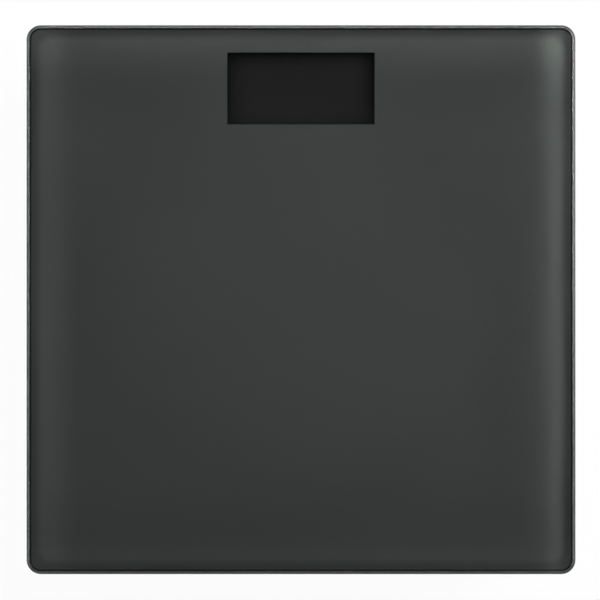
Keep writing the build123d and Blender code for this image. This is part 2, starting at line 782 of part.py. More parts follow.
spring_pitch = (spring_length - spring_wire) / spring_turns
with BuildPart() as battery_springs:
    for way, y in zip((1, -1), battery_places):
        plate_x = -way * (bay_length / 2 - contact_thickness - spring_wire / 2)
        with BuildLine() as coil:
            Helix(
                pitch=spring_pitch,
                height=spring_length - spring_wire,
                radius=spring_radius,
                center=(plate_x, y, battery_level),
                direction=(way, 0, 0),
            )
        with BuildSketch(Plane(origin=coil.line @ 0, z_dir=coil.line % 0)):
            Circle(spring_wire / 2)
        sweep(path=coil.line, is_frenet=True)
save(battery_springs.part, "battery_springs")

battery_lead_end_y = holder_front_y - lead_diameter
with BuildPart() as battery_leads:
    for row, y in enumerate(reversed(battery_places)):
        lead_x = bay_outer_length / 2 + (row + 0.5) * (lead_diameter + strip_lead_gap) + strip_lead_gap / 2
        start_y = y + contact_tab_width / 2
        with BuildSketch(Plane(origin=(lead_x, start_y, tab_level), z_dir=(0, 1, 0))):
            Circle(lead_diameter / 2)
        extrude(amount=battery_lead_end_y - start_y)
save(battery_leads.part, "battery_leads")

# ---------------------------------------------------------------- display and board
with BuildPart() as lcd_glass:
    with BuildSketch(level(lcd_rear_top)):
        with Locations((0, (lcd_front_y + lcd_rear_y) / 2)):
            Rectangle(lcd_width, lcd_rear_y - lcd_front_y)
    extrude(amount=lcd_plate)
    with BuildSketch(level(lcd_bottom)):
        with Locations((0, (lcd_plate_front_y + lcd_rear_y) / 2)):
            Rectangle(lcd_width, lcd_rear_y - lcd_plate_front_y)
    extrude(amount=lcd_plate)
save(lcd_glass.part, "lcd_glass")

with BuildPart() as lcd_polarisers:
    for z in (lcd_front_top, backlight_top):
        with BuildSketch(level(z, y=window_y)):
            Rectangle(window_width + 2 * polariser_margin, window_height + 2 * polariser_margin)
        extrude(amount=polariser_thickness)
save(lcd_polarisers.part, "lcd_polarisers")

with BuildPart() as lcd_holder:
    with BuildSketch(level(board_top, y=(holder_front_y + holder_rear_y) / 2)):
        Rectangle(holder_width, holder_rear_y - holder_front_y)
        Rectangle(
            holder_width - 2 * holder_wall,
            holder_rear_y - holder_front_y - 2 * holder_wall,
            mode=Mode.SUBTRACT,
        )
    extrude(amount=housing_ceiling - board_top)
save(lcd_holder.part, "lcd_holder")

with BuildPart() as backlight_panel:
    with BuildSketch(level(board_top, y=(lcd_plate_front_y + lcd_rear_y) / 2)):
        Rectangle(lcd_width, lcd_rear_y - lcd_plate_front_y)
    extrude(amount=backlight_thickness)
save(backlight_panel.part, "backlight_panel")

with BuildPart() as lcd_connector:
    with BuildSketch(level(board_top, y=lcd_front_y + lcd_ledge / 2)):
        Rectangle(lcd_width - 2 * connector_end_inset, connector_width)
    extrude(amount=lcd_rear_top - board_top)
save(lcd_connector.part, "lcd_connector")

board_notch_x = boss_x - cover_boss_diameter / 2 - board_notch_gap
board_notch_y = boss_rear_y - cover_boss_diameter / 2 - board_notch_gap
with BuildPart() as circuit_board:
    with BuildSketch(level(board_bottom)):
        with Locations((0, (board_front_y + holder_rear_y) / 2)):
            Rectangle(board_width, holder_rear_y - board_front_y)
        for side in (-1, 1):
            with Locations((side * (board_notch_x + board_width) / 2, (board_notch_y + holder_rear_y + 1) / 2)):
                Rectangle(
                    board_width - board_notch_x,
                    holder_rear_y + 1 - board_notch_y,
                    mode=Mode.SUBTRACT,
                )
        with Locations(board_screw_places):
            Circle((board_screw_diameter + screw_hole_clearance) / 2, mode=Mode.SUBTRACT)
    extrude(amount=board_thickness)
save(circuit_board.part, "circuit_board")

with BuildPart() as chip_coating:
    with BuildSketch(level(board_bottom, y=window_y)):
        Circle(chip_diameter / 2)
    extrude(amount=-chip_height)
    fillet(chip_coating.edges().group_by(Axis.Z)[0], radius=chip_height * 0.8)
save(chip_coating.part, "chip_coating")

# Small parts on the board's underside: length, width and height of each, and its place from the chip
board_parts = [
    (8.0, 4.0, 3.2, (-18.0, 8.0)),
    (5.0, 5.0, 1.6, (17.0, 9.0)),
    (3.2, 1.6, 0.9, (12.0, -2.0)),
    (3.2, 1.6, 0.9, (12.0, -6.0)),
    (3.2, 1.6, 0.9, (17.0, -2.0)),
    (3.2, 1.6, 0.9, (17.0, -6.0)),
    (2.0, 1.25, 0.7, (-12.0, -4.0)),
    (2.0, 1.25, 0.7, (-12.0, -8.0)),
    (2.0, 1.25, 0.7, (-16.0, -4.0)),
    (6.0, 3.0, 2.4, (26.0, -18.0)),
]
with BuildPart() as board_components:
    for part_length, part_width, part_height, (part_x, part_y) in board_parts:
        with BuildSketch(level(board_bottom, x=part_x, y=window_y + part_y)):
            Rectangle(part_length, part_width)
        extrude(amount=-part_height)
save(board_components.part, "board_components")

# ---------------------------------------------------------------- unit button and switch
button_flange_bottom = cover_floor_top + button_seat_gap
button_flange_top = button_flange_bottom + button_flange_height
switch_bottom = board_bottom - switch_height

with BuildPart() as unit_button:
    with BuildSketch(level(cover_height - button_stand_out, button_x, button_y)):
        Circle(button_diameter / 2)
    extrude(amount=button_flange_bottom - cover_height + button_stand_out)
    fillet(unit_button.edges().group_by(Axis.Z)[0], radius=button_stand_out)
    with BuildSketch(level(button_flange_bottom, button_x, button_y)):
        Circle(button_diameter / 2 + button_flange_width)
    extrude(amount=button_flange_height)
save(unit_button.part, "unit_button")

with BuildPart() as switch_plunger:
    with BuildSketch(level(button_flange_top, button_x, button_y)):
        Circle(plunger_diameter / 2)
    extrude(amount=switch_bottom + plunger_engagement - button_flange_top)
save(switch_plunger.part, "switch_plunger")

with BuildPart() as switch_body:
    with BuildSketch(level(switch_bottom, button_x, button_y)):
        Rectangle(switch_side, switch_side)
    extrude(amount=switch_height)
    with BuildSketch(level(switch_bottom, button_x, button_y)):
        Circle(plunger_diameter / 2 + plunger_clearance)
    extrude(amount=plunger_engagement + button_travel + plunger_spare, mode=Mode.SUBTRACT)
save(switch_body.part, "switch_body")

# ---------------------------------------------------------------- screws
screw_seat = cover_height + screw_recess
with BuildPart() as housing_screws:
    with BuildSketch(level(screw_seat)):
        with Locations(boss_places):
            Circle(screw_head_diameter / 2)
    extrude(amount=-screw_head_height)
    with BuildSketch(level(screw_seat)):
        with Locations(boss_places):
            Circle((screw_diameter - screw_fit) / 2)
    extrude(amount=screw_length)
    chamfer(housing_screws.edges().group_by(Axis.Z)[-1], length=screw_diameter / 4)
    with BuildSketch(level(screw_seat - screw_head_height)):
        with Locations(boss_places):
            Rectangle(screw_head_diameter * 0.6, screw_slot_width)
            Rectangle(screw_slot_width, screw_head_diameter * 0.6)
    extrude(amount=screw_slot_depth, mode=Mode.SUBTRACT)
save(housing_screws.part, "housing_screws")

with BuildPart() as board_screws:
    with BuildSketch(level(board_bottom)):
        with Locations(board_screw_places):
            Circle(board_screw_head_diameter / 2)
    extrude(amount=-board_screw_head_height)
    with BuildSketch(level(board_bottom)):
        with Locations(board_screw_places):
            Circle((board_screw_diameter - screw_fit) / 2)
    extrude(amount=board_screw_length)
save(board_screws.part, "board_screws")
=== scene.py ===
"""Dresses a square glass bathroom scale: pane and ink, foot units, display and battery housing, studio."""

import json
import logging
import math
from dataclasses import dataclass
from enum import Enum
from typing import Any, Iterable, Sequence

import bpy
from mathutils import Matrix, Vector

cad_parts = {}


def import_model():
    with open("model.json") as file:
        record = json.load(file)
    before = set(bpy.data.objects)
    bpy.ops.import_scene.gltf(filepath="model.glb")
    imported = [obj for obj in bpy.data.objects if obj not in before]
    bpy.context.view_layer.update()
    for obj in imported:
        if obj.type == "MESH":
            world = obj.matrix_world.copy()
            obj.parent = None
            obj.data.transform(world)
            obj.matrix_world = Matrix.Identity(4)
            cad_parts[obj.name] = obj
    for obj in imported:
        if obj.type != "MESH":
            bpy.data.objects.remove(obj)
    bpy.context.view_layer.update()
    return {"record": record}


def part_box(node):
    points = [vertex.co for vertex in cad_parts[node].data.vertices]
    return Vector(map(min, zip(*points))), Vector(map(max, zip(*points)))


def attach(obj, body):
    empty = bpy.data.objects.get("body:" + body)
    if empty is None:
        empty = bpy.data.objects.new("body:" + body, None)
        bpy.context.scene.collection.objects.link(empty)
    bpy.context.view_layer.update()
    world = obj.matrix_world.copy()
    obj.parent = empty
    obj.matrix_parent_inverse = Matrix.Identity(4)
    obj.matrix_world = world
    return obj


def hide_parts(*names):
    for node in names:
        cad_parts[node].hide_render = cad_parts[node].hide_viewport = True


LOG = logging.getLogger("bathroom_scale")
MM = 0.001
WELD = MM / 100
PLACE_DIGITS = 4
CORNERS = ("front_left", "front_right", "rear_left", "rear_right")

# A Mix node's colours go by number, because its other sockets have the same names.
COLOUR_A, COLOUR_B, MIXED_COLOUR = 6, 7, 2

Number = float | int
Pair = tuple[float, float]
Triple = tuple[float, float, float]
Colour = Triple
Links = dict[str, Any]

WHITE: Colour = (1.0, 1.0, 1.0)
BLACK: Colour = (0.0, 0.0, 0.0)


# ---- node expressions
class Value:
    """A socket that carries one number or vector, with the usual operators for numbers."""

    def __init__(self, graph: "Graph", socket: bpy.types.NodeSocket | None) -> None:
        """Wrap an output socket of a graph."""
        self.graph = graph
        self.socket = socket

    def _math(self, operation: str, *others: Any) -> "Value":
        """The result of a Math node on this value and the sockets or numbers after it."""
        values = dict(enumerate((self, *others)))
        return self.graph.node("ShaderNodeMath", {"operation": operation}, values)

    def __add__(self, other: Any) -> "Value":
        """Sum of two values."""
        return self._math("ADD", other)

    def __sub__(self, other: Any) -> "Value":
        """Difference of two values."""
        return self._math("SUBTRACT", other)

    def __rsub__(self, other: Number) -> "Value":
        """A number less this value."""
        return self * -1.0 + other

    def __mul__(self, other: Any) -> "Value":
        """Product of two values."""
        return self._math("MULTIPLY", other)

    def __truediv__(self, other: Any) -> "Value":
        """Quotient of two values."""
        return self._math("DIVIDE", other)

    def __rtruediv__(self, other: Number) -> "Value":
        """A number over this value."""
        return self.power(-1.0) * other

    def __abs__(self) -> "Value":
        """The value without its sign."""
        return self._math("ABSOLUTE")

    __radd__ = __add__
    __rmul__ = __mul__

    def power(self, exponent: Any) -> "Value":
        """The value raised to an exponent."""
        return self._math("POWER", exponent)

    def least(self, other: Any) -> "Value":
        """The smaller of two values."""
        return self._math("MINIMUM", other)

    def most(self, other: Any) -> "Value":
        """The larger of two values."""
        return self._math("MAXIMUM", other)

    def above(self, other: Any) -> "Value":
        """1 where this value is greater than the other, else 0."""
        return self._math("GREATER_THAN", other)

    def sine(self) -> "Value":
        """The sine of an angle in radians."""
        return self._math("SINE")

    def ramp(self, low: Number, high: Number, start: Number = 0.0, end: Number = 1.0) -> "Value":
        """A smooth ramp that stays at start up to low, and at end from high on."""
        values = {"Value": self, "From Min": low, "From Max": high, "To Min": start, "To Max": end}
        return self.graph.node("ShaderNodeMapRange", {"interpolation_type": "SMOOTHSTEP"}, values)


class Graph:
    """Builds one node tree, of a material, of the world or of a modifier."""

    def __init__(self, tree: bpy.types.NodeTree) -> None:
        """Start from an empty tree."""
        self.tree = tree
        self.tree.nodes.clear()

    def node(
        self,
        kind: str,
        settings: dict[str, Any] | None = None,
        inputs: dict[str | int, Any] | None = None,
        output: str | int = 0,
    ) -> Value:
        """Add any node.

        Args:
            kind: the node's type.
            settings: properties that are set before its sockets.
            inputs: a value, a linked Value or a list of linked Values for each named or numbered socket.
            output: the name or number of the output that is wanted.

        Returns:
            The wanted output.
        """
        made = self.tree.nodes.new(kind)
        for name, setting in (settings or {}).items():
            setattr(made, name, setting)
        for name, value in (inputs or {}).items():
            socket = made.inputs[name]
            if isinstance(value, Value):
                self.tree.links.new(value.socket, socket)
            elif isinstance(value, list):
                for item in value:
                    self.tree.links.new(item.socket, socket)
            elif isinstance(value, tuple) and socket.type == "RGBA":
                socket.default_value = (*value, 1.0)
            else:
                socket.default_value = value
        return Value(self, made.outputs[output] if made.outputs else None)

    def place(self) -> Value:
        """The point's place in the object's own frame, in metres."""
        return self.node("ShaderNodeTexCoord", output="Object")

    def numbers(self, vector: Value) -> tuple[Value, Value, Value]:
        """Split a vector into its three numbers."""
        outputs = self.node("ShaderNodeSeparateXYZ", inputs={"Vector": vector}).socket.node.outputs
        return Value(self, outputs["X"]), Value(self, outputs["Y"]), Value(self, outputs["Z"])

    def vector(self, x: Any = 0.0, y: Any = 0.0, z: Any = 0.0) -> Value:
        """Join three numbers into a vector."""
        return self.node("ShaderNodeCombineXYZ", inputs={"X": x, "Y": y, "Z": z})

    def noise(self, vector: Value, scale: Number, detail: Number = 2.0, roughness: Number = 0.5) -> Value:
        """Smooth noise from 0 to 1: features in a metre, finer octaves and how strong those are."""
        values = {"Vector": vector, "Scale": scale, "Detail": detail, "Roughness": roughness}
        return self.node("ShaderNodeTexNoise", inputs=values)

    def cells(self, vector: Value, scale: Number) -> Value:
        """Distance to the nearest of scattered points, for pores and grains."""
        return self.node("ShaderNodeTexVoronoi", inputs={"Vector": vector, "Scale": scale})

    def stretched(self, vector: Value, scale: Triple) -> Value:
        """A vector scaled along its axes, so that a pattern is drawn out."""
        return self.node("ShaderNodeMapping", inputs={"Vector": vector, "Scale": scale})

    def blend(self, share: Any, first: Any, second: Any) -> Value:
        """Mix two colours, plain or linked: a share of 0 gives the first and 1 the second."""
        values = {"Factor": share, COLOUR_A: first, COLOUR_B: second}
        return self.node("ShaderNodeMix", {"data_type": "RGBA"}, values, output=MIXED_COLOUR)

    def either(self, share: Value, first: Value, second: Value) -> Value:
        """Mix two surfaces: a share of 0 gives the first and 1 the second."""
        return self.node("ShaderNodeMixShader", inputs={0: share, 1: first, 2: second})


# ---- finishes
class Grain(Enum):
    """The relief of a moulded surface: features to a grain's size, finer octaves and how strong those are."""

    SPARK = (1.0, 3.0, 0.65)
    SATIN = (0.4, 1.0, 0.5)
    PORES = (1.0, 0.0, 0.5)


BUILT: dict["Finish", bpy.types.Material] = {}


def shaded(colour: Colour, factor: float) -> Colour:
    """A colour made darker or brighter."""
    return tuple(min(1.0, channel * factor) for channel in colour)


@dataclass(frozen=True)
class Finish:
    """One surface finish: a Principled surface, with the spread of its gloss and the depth of its relief."""

    name: str
    colour: Colour = (0.5, 0.5, 0.5)
    roughness: float = 0.5
    metallic: float = 0.0
    specular: float = 0.5
    coat: float = 0.0
    spread: float = 0.15
    relief: float = 0.5
    depth: float = 0.03 * MM

    def constants(self) -> Links:
        """Values of the shader's own sockets that are the same all over."""
        return {
            "Base Color": self.colour,
            "Roughness": self.roughness,
            "Metallic": self.metallic,
            "Specular IOR Level": self.specular,
            "Coat Weight": self.coat,
        }

    def patterns(self, graph: Graph) -> Links:
        """Links for the sockets that vary over the surface."""
        return {}

    def uneven(self, noise: Value) -> Value:
        """Roughness that wavers with a noise from 0 to 1."""
        return (noise - 0.5) * self.spread + self.roughness

    def raised(self, height: Value) -> Value:
        """A normal with the finish's relief, from a height of 0 to 1."""
        values = {"Height": height, "Strength": self.relief, "Distance": self.depth}
        return height.graph.node("ShaderNodeBump", inputs=values)

    def material(self) -> bpy.types.Material:
        """Build the material, or hand back the one already built for this finish.

        Returns:
            The material.
        """
        if self in BUILT:
            return BUILT[self]
        made = BUILT[self] = bpy.data.materials.new(self.name)
        made.use_nodes = True
        graph = Graph(made.node_tree)
        surface = graph.node("ShaderNodeBsdfPrincipled", inputs={**self.constants(), **self.patterns(graph)})
        graph.node("ShaderNodeOutputMaterial", inputs={"Surface": surface})
        made.diffuse_color = (*self.colour, 1.0)
        return made


@dataclass(frozen=True)
class ClearGlass(Finish):
    """Polished glass, duller where the mesh's `arris` attribute says that it is ground."""

    ior: float = 1.52
    ground: float = 0.0

    def constants(self) -> Links:
        """Clear, with the refraction of its kind of glass."""
        return {**super().constants(), "Transmission Weight": 1.0, "IOR": self.ior}

    def patterns(self, graph: Graph) -> Links:
        """Roughness from the ground share of each point."""
        edge = graph.node("ShaderNodeAttribute", {"attribute_name": "arris"}, output="Fac")
        return {"Roughness": edge * (self.ground - self.roughness) + self.roughness}


@dataclass(frozen=True)
class PaintedMargin:
    """Painted light and shade of the ink from one side: its share near the edge and farther in, and where it
    turns.
    """

    near: float
    farther: float
    start: float
    end: float
    # Painted light: how much brighter the band near the edge grows toward the rear.
    rise: float = 0.0


@dataclass(frozen=True)
class FiredInk(Finish):
    """Ceramic ink under the glass: faint clouding and a fine speckle, with painted shade at its rim and outer
    line, painted light and shade along each side, and a painted glow near the right rear.
    """

    half_side: float = 151.5 * MM
    corner: float = 7.0 * MM
    # Painted shade: the ink's outer rim is darker, where the glass edge keeps light from reaching it.
    rim: Pair = (2.8 * MM, 8.2 * MM)
    painted_rim_shade: float = 0.66
    rim_corner: float = 13.0 * MM
    # Painted light and shade for each side: a brighter band near the edge, where side light through the bevel
    # falls, and a darker trough farther in.
    left: PaintedMargin = PaintedMargin(1.18, 0.965, 13.0 * MM, 28.0 * MM)
    right: PaintedMargin = PaintedMargin(1.1, 0.925, 8.0 * MM, 24.5 * MM, rise=0.24)
    rear: PaintedMargin = PaintedMargin(1.05, 0.915, 13.0 * MM, 29.0 * MM)
    front: PaintedMargin = PaintedMargin(1.01, 0.89, 7.0 * MM, 19.0 * MM)
    even_from: float = 62.0 * MM
    # Painted glow near the right edge, strongest toward the rear.
    painted_glow: float = 0.34
    painted_glow_rim: Pair = (2.5 * MM, 7.0 * MM)
    painted_glow_across: Pair = (8.0 * MM, 27.0 * MM)
    painted_glow_along: Pair = (8.0 * MM, 50.0 * MM)
    # Painted shade: a nearly black strip at the ink's outer edge, for the dark line seen along the glass's
    # arris.
    line: Pair = (1.2 * MM, 1.6 * MM)
    painted_line_shade: float = 0.08
    clouding: float = 0.05
    clouds: Pair = (18.0, 3.0)
    speckle: float = 0.05
    speckles: Pair = (1400.0, 1.0)
    headroom: float = 2.0

    def inside(self, graph: Graph, corner: float) -> Value:
        """How far a point lies inside the ink's square with rounded corners.

        Args:
            graph: the material's tree.
            corner: radius of the corners.

        Returns:
            The distance in metres, negative outside.
        """
        x, y, _ = graph.numbers(graph.place())
        reach_x, reach_y = (abs(number) - (self.half_side - corner) for number in (x, y))
        round_x, round_y = reach_x.most(0.0), reach_y.most(0.0)
        beyond = (round_x * round_x + round_y * round_y).power(0.5)
        return corner - beyond - reach_x.most(reach_y).least(0.0)

    def painted_margins(self, graph: Graph) -> Value:
        """Share of the ink's colour left by the painted light and shade along its four sides and the painted
        glow at one side.

        Args:
            graph: the material's tree.

        Returns:
            The share.
        """
        x, y, _ = graph.numbers(graph.place())
        across, along = self.half_side - x, self.half_side - y
        painted_margins = (
            (self.left, self.half_side + x),
            (self.right, across),
            (self.rear, along),
            (self.front, self.half_side + y),
        )
        # Painted glow near the right edge, fading toward the front.
        painted_glow = across.ramp(*self.painted_glow_rim) * across.ramp(*self.painted_glow_across, self.painted_glow, 0.0)
        shade = painted_glow * along.ramp(*self.painted_glow_along, 1.0, 0.0) + 1.0
        # Painted light near each edge and painted shade in the trough farther in.
        for margin, depth in painted_margins:
            near = along.ramp(0.0, 2.0 * self.half_side, margin.rise, 0.0) + (margin.near - margin.farther)
            band = depth.ramp(margin.start, margin.end, 1.0, 0.0) * near
            shade = shade * (band + depth.ramp(margin.end, self.even_from, margin.farther, 1.0))
        return shade

    def patterns(self, graph: Graph) -> Links:
        """The ink's colour: painted shade at its rim and outer line, painted light and shade along its sides,
        a painted glow, its clouding and its speckle.

        Args:
            graph: the material's tree.

        Returns:
            The links by socket.
        """
        # Painted shade at the rim and along the outer line.
        rim = self.inside(graph, self.rim_corner).ramp(*self.rim, self.painted_rim_shade, 1.0)
        line = self.inside(graph, self.corner).ramp(*self.line, self.painted_line_shade, 1.0)
        cloud = (graph.noise(graph.place(), *self.clouds) - 0.5) * self.clouding
        grains = (graph.noise(graph.place(), *self.speckles) - 0.5) * self.speckle
        # The painted light and shade scale the ink's colour together with its clouding and speckle.
        shade = rim * self.painted_margins(graph) * line * (cloud + grains + 1.0)
        return {"Base Color": graph.blend(shade / self.headroom, BLACK, shaded(self.colour, self.headroom))}


@dataclass(frozen=True)
class Moulded(Finish):
    """Moulded plastic, rubber, film or foam with a fine grain."""

    spread: float = 0.12
    relief: float = 0.6
    depth: float = 0.02 * MM
    grain: Grain = Grain.SPARK
    grain_size: float = 0.45 * MM
    grain_gloss: float = 0.1
    mottle: float = 0.12
    mottle_scale: float = 55.0

    def patterns(self, graph: Graph) -> Links:
        """Fine relief, a slightly uneven gloss and a faint mottle of the colour.

        Args:
            graph: the material's tree.

        Returns:
            The links by socket.
        """
        features, *octaves = self.grain.value
        if self.grain is Grain.PORES:
            fine = graph.cells(graph.place(), features / self.grain_size)
        else:
            fine = graph.noise(graph.place(), features / self.grain_size, *octaves)
        broad = graph.noise(graph.place(), self.mottle_scale)
        darker, paler = (shaded(self.colour, 1.0 + way * self.mottle) for way in (-1, 1))
        return {
            "Base Color": graph.blend(broad, darker, paler),
            "Roughness": self.uneven(broad) + (fine - 0.5) * self.grain_gloss,
            "Normal": self.raised(fine),
        }


@dataclass(frozen=True)
class DisplayFilm(Moulded):
    """Dark film over the display, with painted shadow along its edges where the ink's window edge shades the
    recessed film: each edge has a width and a share of the colour.
    """

    specular: float = 0.1
    depth: float = 0.002 * MM
    grain: Grain = Grain.SATIN
    mottle: float = 0.03
    middle: Pair = (0.0, 117.5 * MM)
    reach: Pair = (41.0 * MM, 20.0 * MM)
    # Painted shadow of the window's edge on the recessed film, per side: its width and share of the colour.
    left: Pair = (15.0 * MM, 0.45)
    right: Pair = (14.0 * MM, 0.27)
    rear: Pair = (11.0 * MM, 0.1)
    front: Pair = (10.0 * MM, 0.7)

    def patterns(self, graph: Graph) -> Links:
        """The film's grain, with painted shadow deepening the colour at its edges.

        Args:
            graph: the material's tree.

        Returns:
            The links by socket.
        """
        links = super().patterns(graph)
        x, y, _ = graph.numbers(graph.place())
        across, along = x - self.middle[0], y - self.middle[1]
        edge_shadows = (
            (*self.left, across + self.reach[0]),
            (*self.right, self.reach[0] - across),
            (*self.rear, self.reach[1] - along),
            (*self.front, along + self.reach[1]),
        )
        # Painted shadow: near each edge the colour falls to that edge's share.
        shade: Any = 1.0
        for width, share, depth in edge_shadows:
            near = (1.0 - depth / width).most(0.0)
            shade = (1.0 - near * near * (1.0 - share)) * shade
        return {**links, "Base Color": graph.blend(shade, BLACK, links["Base Color"])}


@dataclass(frozen=True)
class DrawnMetal(Finish):
    """Rolled, stamped or drawn metal with fine lines along one axis."""

    metallic: float = 1.0
    spread: float = 0.22
    depth: float = 0.008 * MM
    lines_across: Triple = (60.0, 2400.0, 2400.0)
    line_sharpness: float = 0.6
    tarnish: float = 0.82
    tarnish_scale: float = 160.0

    def patterns(self, graph: Graph) -> Links:
        """Drawn-out lines in the gloss and the relief, and a faint tarnish.

        Args:
            graph: the material's tree.

        Returns:
            The links by socket.
        """
        drawn = graph.stretched(graph.place(), self.lines_across)
        lines = graph.noise(drawn, 1.0, roughness=self.line_sharpness)
        clean = graph.noise(graph.place(), self.tarnish_scale)
        return {
            "Base Color": graph.blend(clean, shaded(self.colour, self.tarnish), self.colour),
            "Roughness": self.uneven(lines),
            "Normal": self.raised(lines),
        }


@dataclass(frozen=True)
class SolderMask(Finish):
    """Lacquered circuit board with traces under the lacquer and scattered vias."""

    trace_width: float = 0.35 * MM
    trace_pitch: float = 1.3 * MM
    trace_run: float = 9.0 * MM
    trace_shift: float = 0.37
    trace_blur: float = 0.2
    trace_lift: float = 1.9
    via_pitch: float = 3.4 * MM
    via_radius: float = 0.11
    via_edge: float = 1.3
    copper: Colour = (0.62, 0.45, 0.24)

    def patterns(self, graph: Graph) -> Links:
        """Lighter traces, metal vias and a low relief over both.

        Args:
            graph: the material's tree.

        Returns:
            The links by socket.
        """
        bricks = {
            "Vector": graph.place(),
            "Scale": 1.0,
            "Mortar Size": self.trace_width / 2,
            "Mortar Smooth": self.trace_blur,
            "Brick Width": self.trace_run,
            "Row Height": self.trace_pitch,
        }
        settings = {"offset": self.trace_shift, "squash": 1.0}
        trace = graph.node("ShaderNodeTexBrick", settings, bricks, output="Fac")
        apart = graph.cells(graph.place(), 1.0 / self.via_pitch)
        via = apart.ramp(self.via_radius, self.via_radius * self.via_edge, 1.0, 0.0)
        green = graph.blend(trace, self.colour, shaded(self.colour, self.trace_lift))
        return {
            "Base Color": graph.blend(via, green, self.copper),
            "Metallic": via,
            "Normal": self.raised(trace + via),
        }


@dataclass(frozen=True)
class LayeredStrip(Finish):
    """Elastomer connector: thin dark conducting layers across a pale strip."""

    relief: float = 0.3
    depth: float = 0.02 * MM
    pitch: float = 0.5 * MM
    blur: float = 0.3
    dark: Colour = (0.03, 0.03, 0.03)

    def patterns(self, graph: Graph) -> Links:
        """Layers that follow one another along the strip.

        Args:
            graph: the material's tree.

        Returns:
            The links by socket.
        """
        x, _, _ = graph.numbers(graph.place())
        layer = (x * (2 * math.pi / self.pitch)).sine().ramp(-self.blur, self.blur)
        return {"Base Color": graph.blend(layer, self.colour, self.dark), "Normal": self.raised(layer)}


@dataclass(frozen=True)
class Sleeve(Finish):
    """Shrunk sleeve on a steel cell: bare metal at the ends and two printed rings."""

    relief: float = 0.4
    middle: float = 0.0
    bare_from: float = 21.6 * MM
    bare_blur: float = 0.2 * MM
    ring_at: float = 15.0 * MM
    ring_width: float = 1.2 * MM
    ring_blur: float = 0.1 * MM
    ring: Colour = (0.55, 0.56, 0.58)
    steel: Colour = (0.62, 0.61, 0.58)
    wrinkles: Triple = (60.0, 700.0, 700.0)

    def patterns(self, graph: Graph) -> Links:
        """Metal ends, printed rings and the sleeve's faint wrinkles.

        Args:
            graph: the material's tree.

        Returns:
            The links by socket.
        """
        x, _, _ = graph.numbers(graph.place())
        away = abs(x - self.middle)
        bare = away.ramp(self.bare_from, self.bare_from + self.bare_blur)
        half = self.ring_width / 2
        ring = abs(away - self.ring_at).ramp(half, half + self.ring_blur, 1.0, 0.0)
        printed = graph.blend(ring, self.colour, self.ring)
        wrinkle = graph.noise(graph.stretched(graph.place(), self.wrinkles), 1.0)
        return {
            "Base Color": graph.blend(bare, printed, self.steel),
            "Metallic": bare,
            "Roughness": self.uneven(wrinkle),
            "Normal": self.raised(wrinkle),
        }


class Slot(Enum):
    """The record's material slots."""

    GLASS = "platform_glass"
    PRINT = "black_print"
    FOAM = "foam_tape"
    BLACK_PLASTIC = "black_plastic"
    GREY_PLASTIC = "grey_plastic"
    WHITE_PLASTIC = "white_plastic"
    CELL_STEEL = "cell_steel"
    SILICONE = "white_silicone"
    PAD_RUBBER = "pad_rubber"
    LEADS = "lead_insulation"
    DISPLAY_GLASS = "display_glass"
    POLARISER = "polariser_film"
    CONNECTOR = "connector_rubber"
    LIGHT_GUIDE = "light_guide"
    BOARD = "board_laminate"
    CHIP = "chip_epoxy"
    COMPONENTS = "component_bodies"
    SWITCH = "switch_plastic"
    BATTERY = "battery_wrap"
    NICKEL = "nickel_plate"
    SCREWS = "screw_steel"


def satin(name: str, colour: Colour, roughness: float, depth: float = Moulded.depth) -> Moulded:
    """A moulded finish without the spark-eroded grain."""
    return Moulded(name, colour, roughness, grain=Grain.SATIN, depth=depth)


# Each finish is given by its name, its colour, its roughness and what else differs from its kind.
LEAD_COLOURS = (
    satin("red_lead", (0.42, 0.02, 0.02), 0.4),
    satin("white_lead", (0.72, 0.72, 0.7), 0.4),
    satin("black_lead", (0.02, 0.02, 0.02), 0.4),
)

